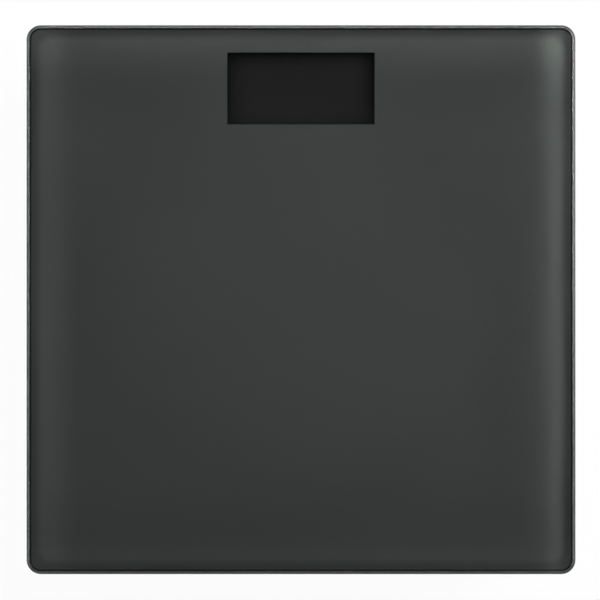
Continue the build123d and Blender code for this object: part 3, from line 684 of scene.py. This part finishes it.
FINISHES: dict[Slot, Finish] = {
    Slot.GLASS: ClearGlass("clear_pane", (0.97, 0.985, 0.98), 0.0, ground=0.2),
    Slot.PRINT: FiredInk("fired_ink", (0.0793, 0.0853, 0.0825), 0.55, specular=0.2),
    Slot.FOAM: Moulded("foam", (0.02, 0.02, 0.02), 0.9, specular=0.2, grain=Grain.PORES, depth=0.08 * MM),
    Slot.BLACK_PLASTIC: Moulded("black_moulding", (0.022, 0.022, 0.023), 0.52),
    Slot.GREY_PLASTIC: Moulded("grey_moulding", (0.09, 0.09, 0.095), 0.5),
    Slot.WHITE_PLASTIC: satin("white_moulding", (0.75, 0.75, 0.73), 0.4),
    Slot.CELL_STEEL: DrawnMetal("cell_plate", (0.56, 0.56, 0.55), 0.36),
    Slot.SILICONE: satin("silicone", (0.82, 0.82, 0.8), 0.3, depth=0.06 * MM),
    Slot.PAD_RUBBER: Moulded("tread_rubber", (0.1, 0.1, 0.1), 0.78, specular=0.3, grain_size=0.3 * MM),
    Slot.LEADS: LEAD_COLOURS[0],
    Slot.DISPLAY_GLASS: ClearGlass("display_plate", (0.35, 0.37, 0.35), 0.02, ior=1.51),
    Slot.POLARISER: DisplayFilm("polariser", (0.0354, 0.0337, 0.0343), 0.35),
    Slot.CONNECTOR: LayeredStrip("layered_strip", (0.6, 0.56, 0.47), 0.6),
    Slot.LIGHT_GUIDE: satin("milky_acrylic", (0.8, 0.8, 0.78), 0.25, depth=0.004 * MM),
    Slot.BOARD: SolderMask("solder_mask", (0.02, 0.16, 0.07), 0.28, coat=0.3),
    Slot.CHIP: satin("epoxy_drop", (0.015, 0.015, 0.015), 0.18, depth=0.05 * MM),
    Slot.COMPONENTS: Moulded("component_bodies", (0.05, 0.05, 0.05), 0.45, grain_size=0.2 * MM),
    Slot.SWITCH: satin("switch_plunger", (0.6, 0.08, 0.05), 0.4),
    Slot.BATTERY: Sleeve("battery_sleeve", (0.08, 0.13, 0.19), 0.3, coat=0.4),
    Slot.NICKEL: DrawnMetal("nickel", (0.66, 0.64, 0.6), 0.22, depth=0.003 * MM),
    Slot.SCREWS: DrawnMetal("zinc", (0.46, 0.46, 0.47), 0.34, lines_across=(700.0, 700.0, 90.0)),
}


# ---- mesh helpers
def linked(name: str, data: bpy.types.ID) -> bpy.types.Object:
    """Make an object of some data and put it in the scene.

    Args:
        name: the object's name.
        data: its mesh, lamp or camera.

    Returns:
        The object.
    """
    made = bpy.data.objects.new(name, data)
    bpy.context.scene.collection.objects.link(made)
    return made


def dress(piece: bpy.types.Object, *finishes: Finish) -> None:
    """Give a piece its finishes in place of whatever it had, with the first one all over.

    Args:
        piece: the object to dress.
        finishes: what goes on it, in the order of its material slots.
    """
    piece.data.materials.clear()
    for finish in finishes:
        piece.data.materials.append(finish.material())
    piece.data.polygons.foreach_set("material_index", [0] * len(piece.data.polygons))


def keep(piece: bpy.types.Object, body: str, slot: Slot, *nodes: str) -> None:
    """Tie a finished piece to its body and report it.

    Args:
        piece: the finished object.
        body: the body that it rides on.
        slot: the record's material slot; not used.
        nodes: the frame's nodes that it stands for.
    """
    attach(piece, body)
    if nodes:
        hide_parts(*nodes)
    LOG.info("%s: %d faces, on %s", piece.name, len(piece.data.polygons), body)


def loose_parts(node: str) -> list[list[int]]:
    """The separate solids of a frame node.

    Args:
        node: the node's name.

    Returns:
        The polygon indices of each solid, in order of the solids' middle places.
    """
    mesh = bpy.data.objects[node].data
    owner: dict[tuple[int, ...], tuple[int, ...]] = {}

    def root(key: tuple[int, ...]) -> tuple[int, ...]:
        """Follow a point to the one that stands for its solid.

        Args:
            key: the point.

        Returns:
            The point that stands for the solid.
        """
        while owner.setdefault(key, key) != key:
            owner[key] = owner[owner[key]]
            key = owner[key]
        return key

    keys = [tuple(round(number / WELD) for number in vert.co) for vert in mesh.vertices]
    for polygon in mesh.polygons:
        first, *others = (root(keys[index]) for index in polygon.vertices)
        for other in others:
            owner[root(other)] = root(first)
    parts: dict[tuple[int, ...], list[int]] = {}
    for polygon in mesh.polygons:
        parts.setdefault(root(keys[polygon.vertices[0]]), []).append(polygon.index)

    def middle(indices: list[int]) -> tuple[float, ...]:
        """Mean place of a solid's faces."""
        total = sum((mesh.polygons[index].center for index in indices), Vector())
        return tuple(round(number, PLACE_DIGITS) for number in total / len(indices))

    return sorted(parts.values(), key=middle)


def part_points(node: str, part: Iterable[int]) -> list[Vector]:
    """The corners of the given faces of a node."""
    mesh = bpy.data.objects[node].data
    return [mesh.vertices[vertex].co for index in part for vertex in mesh.polygons[index].vertices]


def box_round(points: Sequence[Vector]) -> list[Vector]:
    """Lowest and highest corner of the box round some points."""
    return [Vector(end(point[axis] for point in points) for axis in range(3)) for end in (min, max)]


def underside(low: Vector, high: Vector) -> Vector:
    """The middle of a box's lowest face."""
    return Vector(((low.x + high.x) / 2, (low.y + high.y) / 2, low.z))


def plain(piece: bpy.types.Object) -> bpy.types.Object:
    """Turn what a piece's modifiers make into its own plain mesh, and remove them.

    Args:
        piece: an object with modifiers.

    Returns:
        The same object.
    """
    graph = bpy.context.evaluated_depsgraph_get()
    mesh = bpy.data.meshes.new_from_object(piece.evaluated_get(graph), depsgraph=graph)
    piece.modifiers.clear()
    piece.data = mesh
    mesh.name = piece.name
    return piece


# ---- modifier trees
class Pattern(Graph):
    """A Geometry Nodes tree with named inputs, ended by Realize Instances and Set Material."""

    def __init__(self, name: str) -> None:
        """Start a tree with one geometry input.

        Args:
            name: name of the tree, and of the piece that it makes.
        """
        super().__init__(bpy.data.node_groups.new(name, "GeometryNodeTree"))
        self.sizes: dict[str, Number] = {}
        for way in ("INPUT", "OUTPUT"):
            self.tree.interface.new_socket("Geometry", in_out=way, socket_type="NodeSocketGeometry")
        self.inlet = self.tree.nodes.new("NodeGroupInput")

    def size(self, name: str, value: Number) -> Value:
        """Add a named input.

        Args:
            name: what the size is.
            value: its value, a whole number for a count.

        Returns:
            The input.
        """
        kind = "NodeSocketInt" if isinstance(value, int) else "NodeSocketFloat"
        self.tree.interface.new_socket(name, in_out="INPUT", socket_type=kind)
        self.sizes[name] = value
        return Value(self, self.inlet.outputs[name])

    def fields(self, owner: Any, *names: str) -> list[Value]:
        """Add a named input for each of some fields of an owner."""
        return [self.size(name.replace("_", " "), getattr(owner, name)) for name in names]

    def index(self) -> Value:
        """The number of each point."""
        return self.node("GeometryNodeInputIndex")

    def position(self) -> tuple[Value, Value, Value]:
        """The place of each point."""
        return self.numbers(self.node("GeometryNodeInputPosition"))

    def placed(self, points: Value, item: Value, turn: Any = (0.0, 0.0, 0.0)) -> Value:
        """An item on each point, turned by a vector of angles."""
        values = {"Points": points, "Instance": item, "Rotation": turn}
        return self.node("GeometryNodeInstanceOnPoints", inputs=values)

    def joined(self, *items: Value) -> Value:
        """Several geometries as one."""
        return self.node("GeometryNodeJoinGeometry", inputs={"Geometry": list(items)})

    def welded(self, *shells: Value) -> Value:
        """Several open shells as one closed mesh."""
        values = {"Geometry": self.joined(*shells), "Distance": WELD}
        return self.node("GeometryNodeMergeByDistance", inputs=values)

    def altered(self, item: Value, **changes: Any) -> Value:
        """A geometry with a new translation, rotation or scale."""
        values = {name.title(): change for name, change in changes.items()}
        return self.node("GeometryNodeTransform", inputs={"Geometry": item, **values})

    def moved(self, item: Value, y: Any = 0.0, z: Any = 0.0) -> Value:
        """A geometry shifted along Y and Z."""
        return self.altered(item, translation=self.vector(y=y, z=z))

    def flipped(self, item: Value) -> Value:
        """A mesh with its faces turned round."""
        return self.node("GeometryNodeFlipFaces", inputs={"Mesh": item})

    def filled(self, outline: Value, mode: str) -> Value:
        """A flat mesh inside closed curves."""
        return self.node("GeometryNodeFillCurve", {"mode": mode}, {"Curve": outline})

    def rectangle(self, width: Value, depth: Value) -> Value:
        """A closed curve round a rectangle, centred on the origin."""
        values = {"Width": width, "Height": depth}
        return self.node("GeometryNodeCurvePrimitiveQuadrilateral", inputs=values)

    def rounded(self, curve: Value, radius: Value, count: Any) -> Value:
        """A curve with each corner rounded by an arc of so many points."""
        values = {"Curve": curve, "Radius": radius, "Count": count}
        return self.node("GeometryNodeFilletCurve", {"mode": "POLY"}, values)

    def swept(self, path: Value, section: Value, capped: bool = True) -> Value:
        """A section swept along a path, with its ends capped where it has ends."""
        values = {"Curve": path, "Profile Curve": section, "Fill Caps": capped}
        return self.node("GeometryNodeCurveToMesh", inputs=values)

    def cylinder(self, facets: int, radius: Value, height: Value, foot: float = 0.0) -> Value:
        """A many-sided cylinder round the Z axis, from its foot up."""
        values = {"Vertices": facets, "Radius": radius, "Depth": height}
        return self.moved(self.node("GeometryNodeMeshCylinder", inputs=values), z=height * 0.5 + foot)

    def block(self, x: Value, y: Value, z: Value, middle: Value) -> Value:
        """A block of three sizes, with its middle at a height."""
        cube = self.node("GeometryNodeMeshCube", inputs={"Size": self.vector(x, y, z)})
        return self.moved(cube, z=middle)

    def dome(self, kind: str, values: dict[str, Any], radius: Value, height: Value) -> Value:
        """A kind of ball, divided so finely, and flattened until it reaches only so far up and down."""
        ball = self.node(kind, inputs={"Radius": radius, **values})
        return self.altered(ball, scale=self.vector(1.0, 1.0, height / radius))

    def coil(self, points: int, turns: Value, radius: Value, height: Value, sides: int, wire: Value) -> Value:
        """A wire wound round the Z axis, from z = 0 up.

        Args:
            points: how many points a turn has.
            turns: how many turns there are.
            radius: radius of the turns, to the wire's middle.
            height: how far the wire's middle climbs.
            sides: how many sides the wire has.
            wire: the wire's radius.

        Returns:
            The coil.
        """
        turning = {"Resolution": points, "Rotations": turns, "Height": height}
        spread = {"Start Radius": radius, "End Radius": radius}
        path = self.node("GeometryNodeCurveSpiral", inputs={**turning, **spread})
        around = {"Resolution": sides, "Radius": wire}
        section = self.node("GeometryNodeCurvePrimitiveCircle", {"mode": "RADIUS"}, around)
        return self.swept(path, section)

    def made(self, item: Value, slot: Slot, *points: Vector) -> bpy.types.Object:
        """Put an item on each of some points, and make that a plain mesh.

        Args:
            item: the geometry of one item.
            slot: the slot whose finish it takes.
            points: where the items go.

        Returns:
            The plain mesh object, without a modifier.
        """
        places = Value(self, self.inlet.outputs["Geometry"])
        solid = self.node("GeometryNodeRealizeInstances", inputs={"Geometry": self.placed(places, item)})
        values = {"Geometry": solid, "Material": FINISHES[slot].material()}
        dressed = self.node("GeometryNodeSetMaterial", inputs=values)
        self.node("NodeGroupOutput", inputs={"Geometry": dressed})
        mesh = bpy.data.meshes.new(self.tree.name)
        mesh.from_pydata(points, [], [])
        piece = linked(self.tree.name, mesh)
        modifier = piece.modifiers.new(self.tree.name, "NODES")
        modifier.node_group = self.tree
        for socket in self.tree.interface.items_tree:
            if socket.in_out == "INPUT" and socket.name in self.sizes:
                modifier[socket.identifier] = self.sizes[socket.name]
        dress(plain(piece), FINISHES[slot])
        return piece


# ---- platform
@dataclass
class Platform:
    """The glass pane with its ground edge, and the ink fired on its underside."""

    corner_radius: float = 8.0 * MM
    corner_points: int = 20
    top_arris: float = 1.7 * MM
    bottom_arris: float = 0.8 * MM
    arris_round: float = 0.36 * MM
    round_points: int = 4
    edge_depth: float = 2.3 * MM
    ink_inset: float = 1.0 * MM
    ink_bite: float = 0.03 * MM
    flat_weight: int = 100

    def outline(self, pattern: Pattern, side: float, radius: float) -> Value:
        """A closed curve round a square with rounded corners.

        Args:
            pattern: the tree to build in.
            side: length of the square's side.
            radius: radius of its corners.

        Returns:
            The curve, centred on the origin.
        """
        reach = pattern.size("side", side)
        corner = pattern.size("corner radius", radius)
        count = pattern.size("corner points", self.corner_points)
        return pattern.rounded(pattern.rectangle(reach, reach), corner, count)

    def edge_profile(self, pattern: Pattern, thickness: Value) -> Value:
        """The section of the pane's edge: flat, ground arris, side, ground arris, flat.

        Args:
            pattern: the tree to build in.
            thickness: the pane's thickness.

        Returns:
            The open curve, which runs down from the top face and marks its ground points.
        """
        depth, top, bottom, ease, count = pattern.fields(
            self, "edge_depth", "top_arris", "bottom_arris", "arris_round", "round_points"
        )
        # The sweep turns the section's -Y upwards, so the top face lies at minus the thickness.
        inset, face = depth * -1.0, thickness * -1.0
        corners = {
            "Point 1": pattern.vector(inset, face),
            "Point 2": pattern.vector(0.0, face),
            "Point 3": pattern.vector(0.0, 0.0),
            "Point 4": pattern.vector(inset, 0.0),
        }
        section = pattern.node("GeometryNodeCurvePrimitiveQuadrilateral", {"mode": "POINTS"}, corners)
        index = pattern.index()
        upper, lower, last = 1.0, 2.0, 5.0
        at_upper, at_lower = ((1.0 - abs(index - corner)).most(0.0) for corner in (upper, lower))
        ground = pattern.rounded(section, at_upper * top + at_lower * bottom, 1)
        inner = index.least(1.0) * (last - index).least(1.0)
        eased = pattern.rounded(ground, inner * ease, count)
        x, y, _ = pattern.position()
        values = {"Geometry": eased, "Name": "arris", "Value": x.above(top * -1.0) * (y * -1.0).above(0.0)}
        settings = {"data_type": "FLOAT", "domain": "POINT"}
        marked = pattern.node("GeometryNodeStoreNamedAttribute", settings, values)
        return pattern.node("GeometryNodeSetSplineCyclic", inputs={"Geometry": marked, "Cyclic": False})

    def lid(self, pattern: Pattern, band: Value, chosen: Value) -> Value:
        """A flat face inside the chosen edges of a band, at height 0."""
        rim = pattern.node("GeometryNodeMeshToCurve", inputs={"Mesh": band, "Selection": chosen})
        return pattern.filled(rim, "NGONS")

    def pane(self) -> bpy.types.Object:
        """The glass pane: its edge section swept round the outline, closed above and below.

        Returns:
            The finished pane.
        """
        low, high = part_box("glass_platform")
        pattern = Pattern("platform_pane")
        thickness = pattern.size("thickness", high.z - low.z)
        outline = self.outline(pattern, high.x - low.x, self.corner_radius)
        band = pattern.swept(outline, self.edge_profile(pattern, thickness), capped=False)
        border = 2.0 - pattern.node("GeometryNodeInputMeshEdgeNeighbors")
        _, _, height = pattern.position()
        upper = height.above(thickness * 0.5)
        top = pattern.moved(self.lid(pattern, band, border * upper), z=thickness)
        bottom = pattern.flipped(self.lid(pattern, band, border * (1.0 - upper)))
        pane = pattern.made(pattern.welded(band, top, bottom), Slot.GLASS, underside(low, high))
        pane.data.shade_smooth()
        flat = pane.modifiers.new("flat_faces", "WEIGHTED_NORMAL")
        flat.weight = self.flat_weight
        return plain(pane)

    def window(self) -> list[Vector]:
        """Lowest and highest corner of the clear rectangle, read from the ink's inner points.

        Returns:
            The two corners.
        """
        _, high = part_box("printed_backing")
        reach = high.x - self.corner_radius
        points = [vert.co for vert in bpy.data.objects["printed_backing"].data.vertices]
        return box_round([point for point in points if max(abs(point.x), abs(point.y)) < reach])

    def ink(self) -> bpy.types.Object:
        """The ink, bonded a hair into the glass, with the display window left clear.

        Returns:
            The finished ink.
        """
        low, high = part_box("printed_backing")
        front, rear = self.window()
        pattern = Pattern("ink_layer")
        outline = self.outline(pattern, high.x - low.x, self.corner_radius - self.ink_inset)
        width = pattern.size("window width", rear.x - front.x)
        depth = pattern.size("window depth", rear.y - front.y)
        place = pattern.size("window place", (front.y + rear.y) / 2)
        window = pattern.moved(pattern.rectangle(width, depth), y=place)
        sheet = pattern.filled(pattern.joined(outline, window), "TRIANGLES")
        values = {
            "Mesh": sheet,
            "Offset": pattern.vector(z=1.0),
            "Offset Scale": pattern.size("thickness", high.z + self.ink_bite - low.z),
            "Individual": False,
        }
        raised = pattern.node("GeometryNodeExtrudeMesh", {"mode": "FACES"}, values)
        return pattern.made(pattern.welded(raised, pattern.flipped(sheet)), Slot.PRINT, underside(low, high))

    def build(self) -> None:
        """Make the pane and the ink and tie them to the platform."""
        keep(self.pane(), "platform", Slot.GLASS, "glass_platform")
        keep(self.ink(), "platform", Slot.PRINT, "printed_backing")


# ---- foot units
@dataclass
class FootUnit:
    """One foot unit: its rubber pad gets a tread of blocks in rings."""

    corner: str
    tread_depth: float = 0.5 * MM
    groove: float = 1.0 * MM
    groove_radii: tuple[float, ...] = (7.0 * MM, 11.5 * MM, 16.0 * MM)
    block_counts: tuple[int, ...] = (9, 14, 19)
    block_gap: float = 1.0 * MM
    block_round: float = 0.15 * MM
    round_points: int = 2
    disc_round: float = 0.4 * MM
    facets: int = 96
    arc_points: int = 10

    def ring_of_blocks(self, pattern: Pattern, inner: float, outer: float, count: int, label: str) -> Value:
        """A ring of arc-shaped blocks.

        Args:
            pattern: the tree to build in.
            inner: the ring's inner radius.
            outer: the ring's outer radius.
            count: how many blocks it has.
            label: the ring's name in the tree's inputs.

        Returns:
            The ring, standing on z = 0.
        """
        sizes = {
            "radius": (inner + outer) / 2,
            "width": outer - inner,
            "blocks": count,
            "gap": self.block_gap,
            "depth": self.tread_depth + self.block_round,
            "edge": self.block_round,
        }
        middle, width, blocks, gap, depth, ease = (
            pattern.size(f"{label} {name}", value) for name, value in sizes.items()
        )
        pitch = 2 * math.pi / blocks
        values = {"Resolution": self.arc_points, "Radius": middle, "Sweep Angle": pitch - gap / middle}
        arc = pattern.node("GeometryNodeCurveArc", {"mode": "RADIUS"}, values)
        section = pattern.rounded(pattern.rectangle(width, depth), ease, self.round_points)
        points = pattern.node("GeometryNodeMeshLine", inputs={"Count": blocks, "Offset": (0.0, 0.0, 0.0)})
        turn = pattern.vector(z=pattern.index() * pitch)
        ring = pattern.placed(points, pattern.swept(arc, section), turn)
        return pattern.moved(ring, z=depth * 0.5)

    def centre(self, pattern: Pattern, radius: float) -> Value:
        """The plain disc inside the first groove, eased at its lower edge.

        Args:
            pattern: the tree to build in.
            radius: the disc's radius.

        Returns:
            The disc, standing on z = 0.
        """
        reach = pattern.size("centre radius", radius)
        radii = {"Radius Top": reach, "Radius Bottom": reach - self.block_round}
        values = {"Vertices": self.facets, "Depth": self.tread_depth, **radii}
        return pattern.node("GeometryNodeMeshCone", inputs=values)

    def build(self) -> None:
        """Make the pad, its tread on a disc that carries it, and tie it to its foot."""
        node = f"foot_pad_{self.corner}"
        low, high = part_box(node)
        radius = (high.x - low.x) / 2
        pattern = Pattern(f"pad_tread_{self.corner}")
        edges = [groove + way * self.groove / 2 for groove in self.groove_radii for way in (-1, 1)]
        bounds = [*edges[1:], radius - self.disc_round]
        rings = [
            self.ring_of_blocks(pattern, inner, outer, count, f"ring {index + 1}")
            for index, (inner, outer, count) in enumerate(zip(bounds[::2], bounds[1::2], self.block_counts))
        ]
        centre = self.centre(pattern, edges[0])
        reach = pattern.size("pad radius", radius)
        thick = pattern.size("disc thickness", high.z - low.z - self.tread_depth)
        disc = pattern.cylinder(self.facets, reach, thick, self.tread_depth)
        piece = pattern.made(pattern.joined(disc, centre, *rings), Slot.PAD_RUBBER, underside(low, high))
        piece.data.shade_flat()
        keep(piece, f"foot_{self.corner}", Slot.PAD_RUBBER, node)


# ---- fasteners and coils
@dataclass
class Screws:
    """Pan-head screws with a cross recess and a threaded shank, one on each of a node's places."""

    node: str
    name: str
    head_radius: float = 2.5 * MM
    head_height: float = 1.8 * MM
    shank_radius: float = 1.2 * MM
    thread_pitch: float = 0.9 * MM
    thread_depth: float = 0.22 * MM
    ridge_sides: int = 4
    recess_length: float = 0.62
    recess_width: float = 0.7 * MM
    recess_depth: float = 0.9 * MM
    overcut: float = 1.5
    facets: int = 32
    rings: int = 25

    def shank(self, pattern: Pattern, length: float) -> Value:
        """The core with its thread wound round it.

        Args:
            pattern: the tree to build in.
            length: length of the shank.

        Returns:
            The shank, standing up from z = 0.
        """
        long = pattern.size("shank length", length)
        reach, pitch, depth = pattern.fields(self, "shank_radius", "thread_pitch", "thread_depth")
        core = reach - depth
        turns = long / pitch - 1.0
        thread = pattern.coil(self.facets, turns, core, turns * pitch, self.ridge_sides, depth)
        return pattern.joined(pattern.cylinder(self.facets, core, long), pattern.moved(thread, z=pitch * 0.5))

    def head(self, pattern: Pattern) -> Value:
        """The domed head below z = 0, with its cross recess cut out.

        Args:
            pattern: the tree to build in.

        Returns:
            The head.
        """
        names = ("head_radius", "head_height", "recess_width", "recess_depth")
        reach, tall, wide, deep = pattern.fields(self, *names)
        values = {"Segments": self.facets, "Rings": self.rings}
        dome = pattern.dome("GeometryNodeMeshUVSphere", values, reach, tall)
        span = reach * (2 * self.overcut)
        across = reach * (2 * self.recess_length)
        bottom = tall * -1.0
        tools = [
            pattern.block(span, span, tall * 2.0, tall),
            pattern.block(across, wide, deep * 2.0, bottom),
            pattern.block(wide, across, deep * 2.0, bottom),
        ]
        settings = {"operation": "DIFFERENCE", "solver": "EXACT"}
        cut = {"Mesh 1": dome, "Mesh 2": tools}
        return pattern.welded(pattern.node("GeometryNodeMeshBoolean", settings, cut))

    def build(self) -> None:
        """Make the screws and tie them to the platform."""
        boxes = [box_round(part_points(self.node, part)) for part in loose_parts(self.node)]
        seat = Vector((0.0, 0.0, self.head_height))
        low, high = boxes[-1]
        pattern = Pattern(self.name)
        screw = pattern.joined(self.head(pattern), self.shank(pattern, high.z - low.z - self.head_height))
        piece = pattern.made(screw, Slot.SCREWS, *(underside(*box) + seat for box in boxes))
        keep(piece, "platform", Slot.SCREWS, self.node)


SCREW_SETS = (
    Screws("housing_screws", "housing_screw_set"),
    Screws(
        "board_screws",
        "board_screw_set",
        head_radius=1.9 * MM,
        head_height=1.2 * MM,
        shank_radius=0.8 * MM,
        thread_pitch=0.7 * MM,
    ),
)


@dataclass
class Springs:
    """The battery springs: coils that lie along the cells."""

    wire: float = 0.8 * MM
    turns: float = 3.5
    ring_points: int = 12
    turn_points: int = 28

    def build(self) -> None:
        """Make one coil on each spring's place and tie them to the platform."""
        node = "battery_springs"
        boxes = [box_round(part_points(node, part)) for part in loose_parts(node)]
        low, high = boxes[0]
        pattern = Pattern("battery_coils")
        turns = pattern.size("turns", self.turns)
        reach = pattern.size("coil radius", (high.z - low.z - self.wire) / 2)
        length = pattern.size("coil length", high.x - low.x - self.wire)
        wire = pattern.size("wire radius", self.wire / 2)
        coil = pattern.coil(self.turn_points, turns, reach, length, self.ring_points, wire)
        laid = pattern.altered(coil, rotation=(0.0, math.pi / 2, 0.0))
        points = [Vector((a.x + self.wire / 2, (a.y + b.y) / 2, (a.z + b.z) / 2)) for a, b in boxes]
        piece = pattern.made(laid, Slot.NICKEL, *points)
        piece.data.shade_smooth()
        keep(piece, "platform", Slot.NICKEL, node)


@dataclass
class SolderJoints:
    """Solder on the board where each sensor lead ends."""

    joint_radius: float = 0.95 * MM
    joint_height: float = 1.1 * MM
    divisions: int = 3

    def ends(self) -> list[Vector]:
        """The inner end of each lead, on the board's top face.

        Returns:
            The ends, bundle by bundle.
        """
        _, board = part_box("circuit_board")
        ends = []
        for corner in CORNERS:
            node = f"sensor_leads_{corner}"
            for part in loose_parts(node):
                points = part_points(node, part)
                low, high = box_round(points)
                inner = low.x if low.x > 0 else high.x
                rows = [point.y for point in points if abs(point.x - inner) < self.joint_radius]
                ends.append(Vector((inner, (min(rows) + max(rows)) / 2, board.z)))
        return ends

    def build(self) -> None:
        """Put a low dome on each lead's end."""
        pattern = Pattern("solder_joints")
        reach, tall = pattern.fields(self, "joint_radius", "joint_height")
        dome = pattern.dome("GeometryNodeMeshIcoSphere", {"Subdivisions": self.divisions}, reach, tall)
        piece = pattern.made(dome, Slot.NICKEL, *self.ends())
        piece.data.shade_smooth()
        keep(piece, "platform", Slot.NICKEL)


# ---- carried-over solids
@dataclass
class Mouldings:
    """Every solid of the frame whose shape stays, with the finish that its slot asks for."""

    subparts: Sequence[dict[str, str]]

    def colour_leads(self, node: str) -> None:
        """Give the leads of one bundle their own colours, in order.

        Args:
            node: the bundle's node.
        """
        piece = bpy.data.objects[node]
        dress(piece, *LEAD_COLOURS)
        for number, part in enumerate(loose_parts(node)):
            for index in part:
                piece.data.polygons[index].material_index = number % len(LEAD_COLOURS)

    def build(self) -> None:
        """Dress each node of the record."""
        for subpart in self.subparts:
            slot = Slot(subpart["material_slot"])
            node = subpart["node"]
            if slot is Slot.LEADS:
                self.colour_leads(node)
            else:
                dress(bpy.data.objects[node], FINISHES[slot])
            LOG.info("%s: %s", node, slot.value)


# ---- studio
@dataclass(frozen=True)
class Softbox:
    """A flat, square-cornered lamp that stands at one side and faces the object."""

    name: str
    place: Triple
    size: Pair
    power: float

    def build(self) -> None:
        """Add the lamp, turned to the origin and unseen by the camera."""
        data = bpy.data.lights.new(self.name, "AREA")
        data.shape = "RECTANGLE"
        data.size, data.size_y = self.size
        data.energy = self.power
        made = linked(self.name, data)
        made.location = self.place
        made.rotation_euler = Vector(self.place).to_track_quat("Z", "Y").to_euler()
        made.visible_camera = False


@dataclass
class Studio:
    """White floor, a soft sky that is dim overhead, softboxes at three sides, and the camera."""

    frame_width: float = 333.57 * MM
    camera_height: float = 2.5
    camera_reach: float = 50.0
    sensor: float = 36.0
    aim: Pair = (-0.56 * MM, -0.17 * MM)
    floor_side: float = 6.0
    floor_show: float = 0.955
    paper: float = 0.95
    overhead: float = 0.01
    ceiling: float = 0.13
    ceiling_cone: Pair = (0.9988, 0.99995)
    dark_cone: Pair = (0.80, 0.985)
    dome: float = 0.15
    skirting: float = 7.0
    skirting_foot: Pair = (-0.02, -0.01)
    skirting_rise: Pair = (0.02, 0.035)
    skirting_spread: Pair = (0.78, 0.93)
    skirting_rear: float = 1.0
    pole: float = 0.01
    softboxes: tuple[Softbox, ...] = (
        Softbox("right_softbox", (1.25, 0.6, 0.29), (1.3, 0.28), 70.0),
        Softbox("rear_softbox", (0.05, 0.66, 0.17), (0.9, 0.2), 1.2),
        Softbox("left_softbox", (-0.92, 0.45, 0.245), (1.0, 0.28), 9.4),
    )

    def glow(self, graph: Graph) -> Value:
        """Radiance of the sky by direction.

        It is even, dim overhead with a soft glow right above, and bright along the foot of three sides.

        Args:
            graph: the world's tree.

        Returns:
            The radiance.
        """
        x, y, z = graph.numbers(graph.node("ShaderNodeTexCoord", output="Generated"))
        above = z.ramp(*self.dark_cone, self.dome, 0.0) + z.ramp(*self.ceiling_cone, 0.0, self.ceiling)
        facing = abs(x).most(y) / (x * x + y * y).power(0.5).most(self.pole)
        sides = facing.ramp(*self.skirting_spread) * (y.most(0.0) * self.skirting_rear + 1.0)
        strip = z.ramp(*self.skirting_foot) * z.ramp(*self.skirting_rise, self.skirting, 0.0)
        return above + sides * strip + self.overhead

    def sky(self) -> None:
        """White to the camera, the soft sky to everything else."""
        world = bpy.data.worlds.new("studio_sky")
        world.use_nodes = True
        graph = Graph(world.node_tree)
        seen = graph.node("ShaderNodeLightPath", output="Is Camera Ray")
        strength = seen + (1.0 - seen) * self.glow(graph)
        light = graph.node("ShaderNodeBackground", inputs={"Color": WHITE, "Strength": strength})
        graph.node("ShaderNodeOutputWorld", inputs={"Surface": light})
        bpy.context.scene.world = world

    def paper_finish(self) -> bpy.types.Material:
        """White paper that keeps a soft shadow and isn't there from below.

        Returns:
            The material.
        """
        made = bpy.data.materials.new("studio_paper")
        made.use_nodes = True
        graph = Graph(made.node_tree)
        paper = graph.node("ShaderNodeBsdfDiffuse", inputs={"Color": (self.paper,) * 3})
        lit = graph.node("ShaderNodeEmission", inputs={"Color": WHITE, "Strength": 1.0})
        names = ("Is Camera Ray", "Is Glossy Ray", "Is Transmission Ray")
        camera, glossy, through = (graph.node("ShaderNodeLightPath", output=name) for name in names)
        pale = graph.either(camera.most(glossy).most(through) * self.floor_show, paper, lit)
        below = graph.node("ShaderNodeNewGeometry", output="Backfacing")
        surface = graph.either(below, pale, graph.node("ShaderNodeBsdfTransparent"))
        graph.node("ShaderNodeOutputMaterial", inputs={"Surface": surface})
        return made

    def floor(self) -> None:
        """One large upward face under the feet."""
        half = self.floor_side / 2
        corners = [(-half, -half, 0.0), (half, -half, 0.0), (half, half, 0.0), (-half, half, 0.0)]
        mesh = bpy.data.meshes.new("studio_floor")
        mesh.from_pydata(corners, [], [range(len(corners))])
        mesh.materials.append(self.paper_finish())
        linked("studio_floor", mesh)

    def camera(self) -> None:
        """Straight above, looking down, with the display at the top of the frame."""
        low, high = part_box("glass_platform")
        data = bpy.data.cameras.new("overhead")
        data.sensor_width = self.sensor
        data.lens = self.sensor * self.camera_height / self.frame_width
        data.clip_end = self.camera_reach
        made = linked("overhead", data)
        made.location = (*self.aim, (low.z + high.z) / 2 + self.camera_height)
        bpy.context.scene.camera = made

    def build(self) -> None:
        """Sky, floor, softboxes, camera and plain view settings."""
        self.sky()
        self.floor()
        for softbox in self.softboxes:
            softbox.build()
        self.camera()
        bpy.context.scene.view_settings.view_transform = "Standard"


def main() -> None:
    """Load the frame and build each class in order."""
    logging.basicConfig(level=logging.INFO, format="%(name)s: %(message)s")
    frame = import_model()
    Studio().build()
    Mouldings(frame["record"]["subparts"]).build()
    Platform().build()
    for corner in CORNERS:
        FootUnit(corner).build()
    for screws in SCREW_SETS:
        screws.build()
    Springs().build()
    SolderJoints().build()


if __name__ == "__main__":
    main()
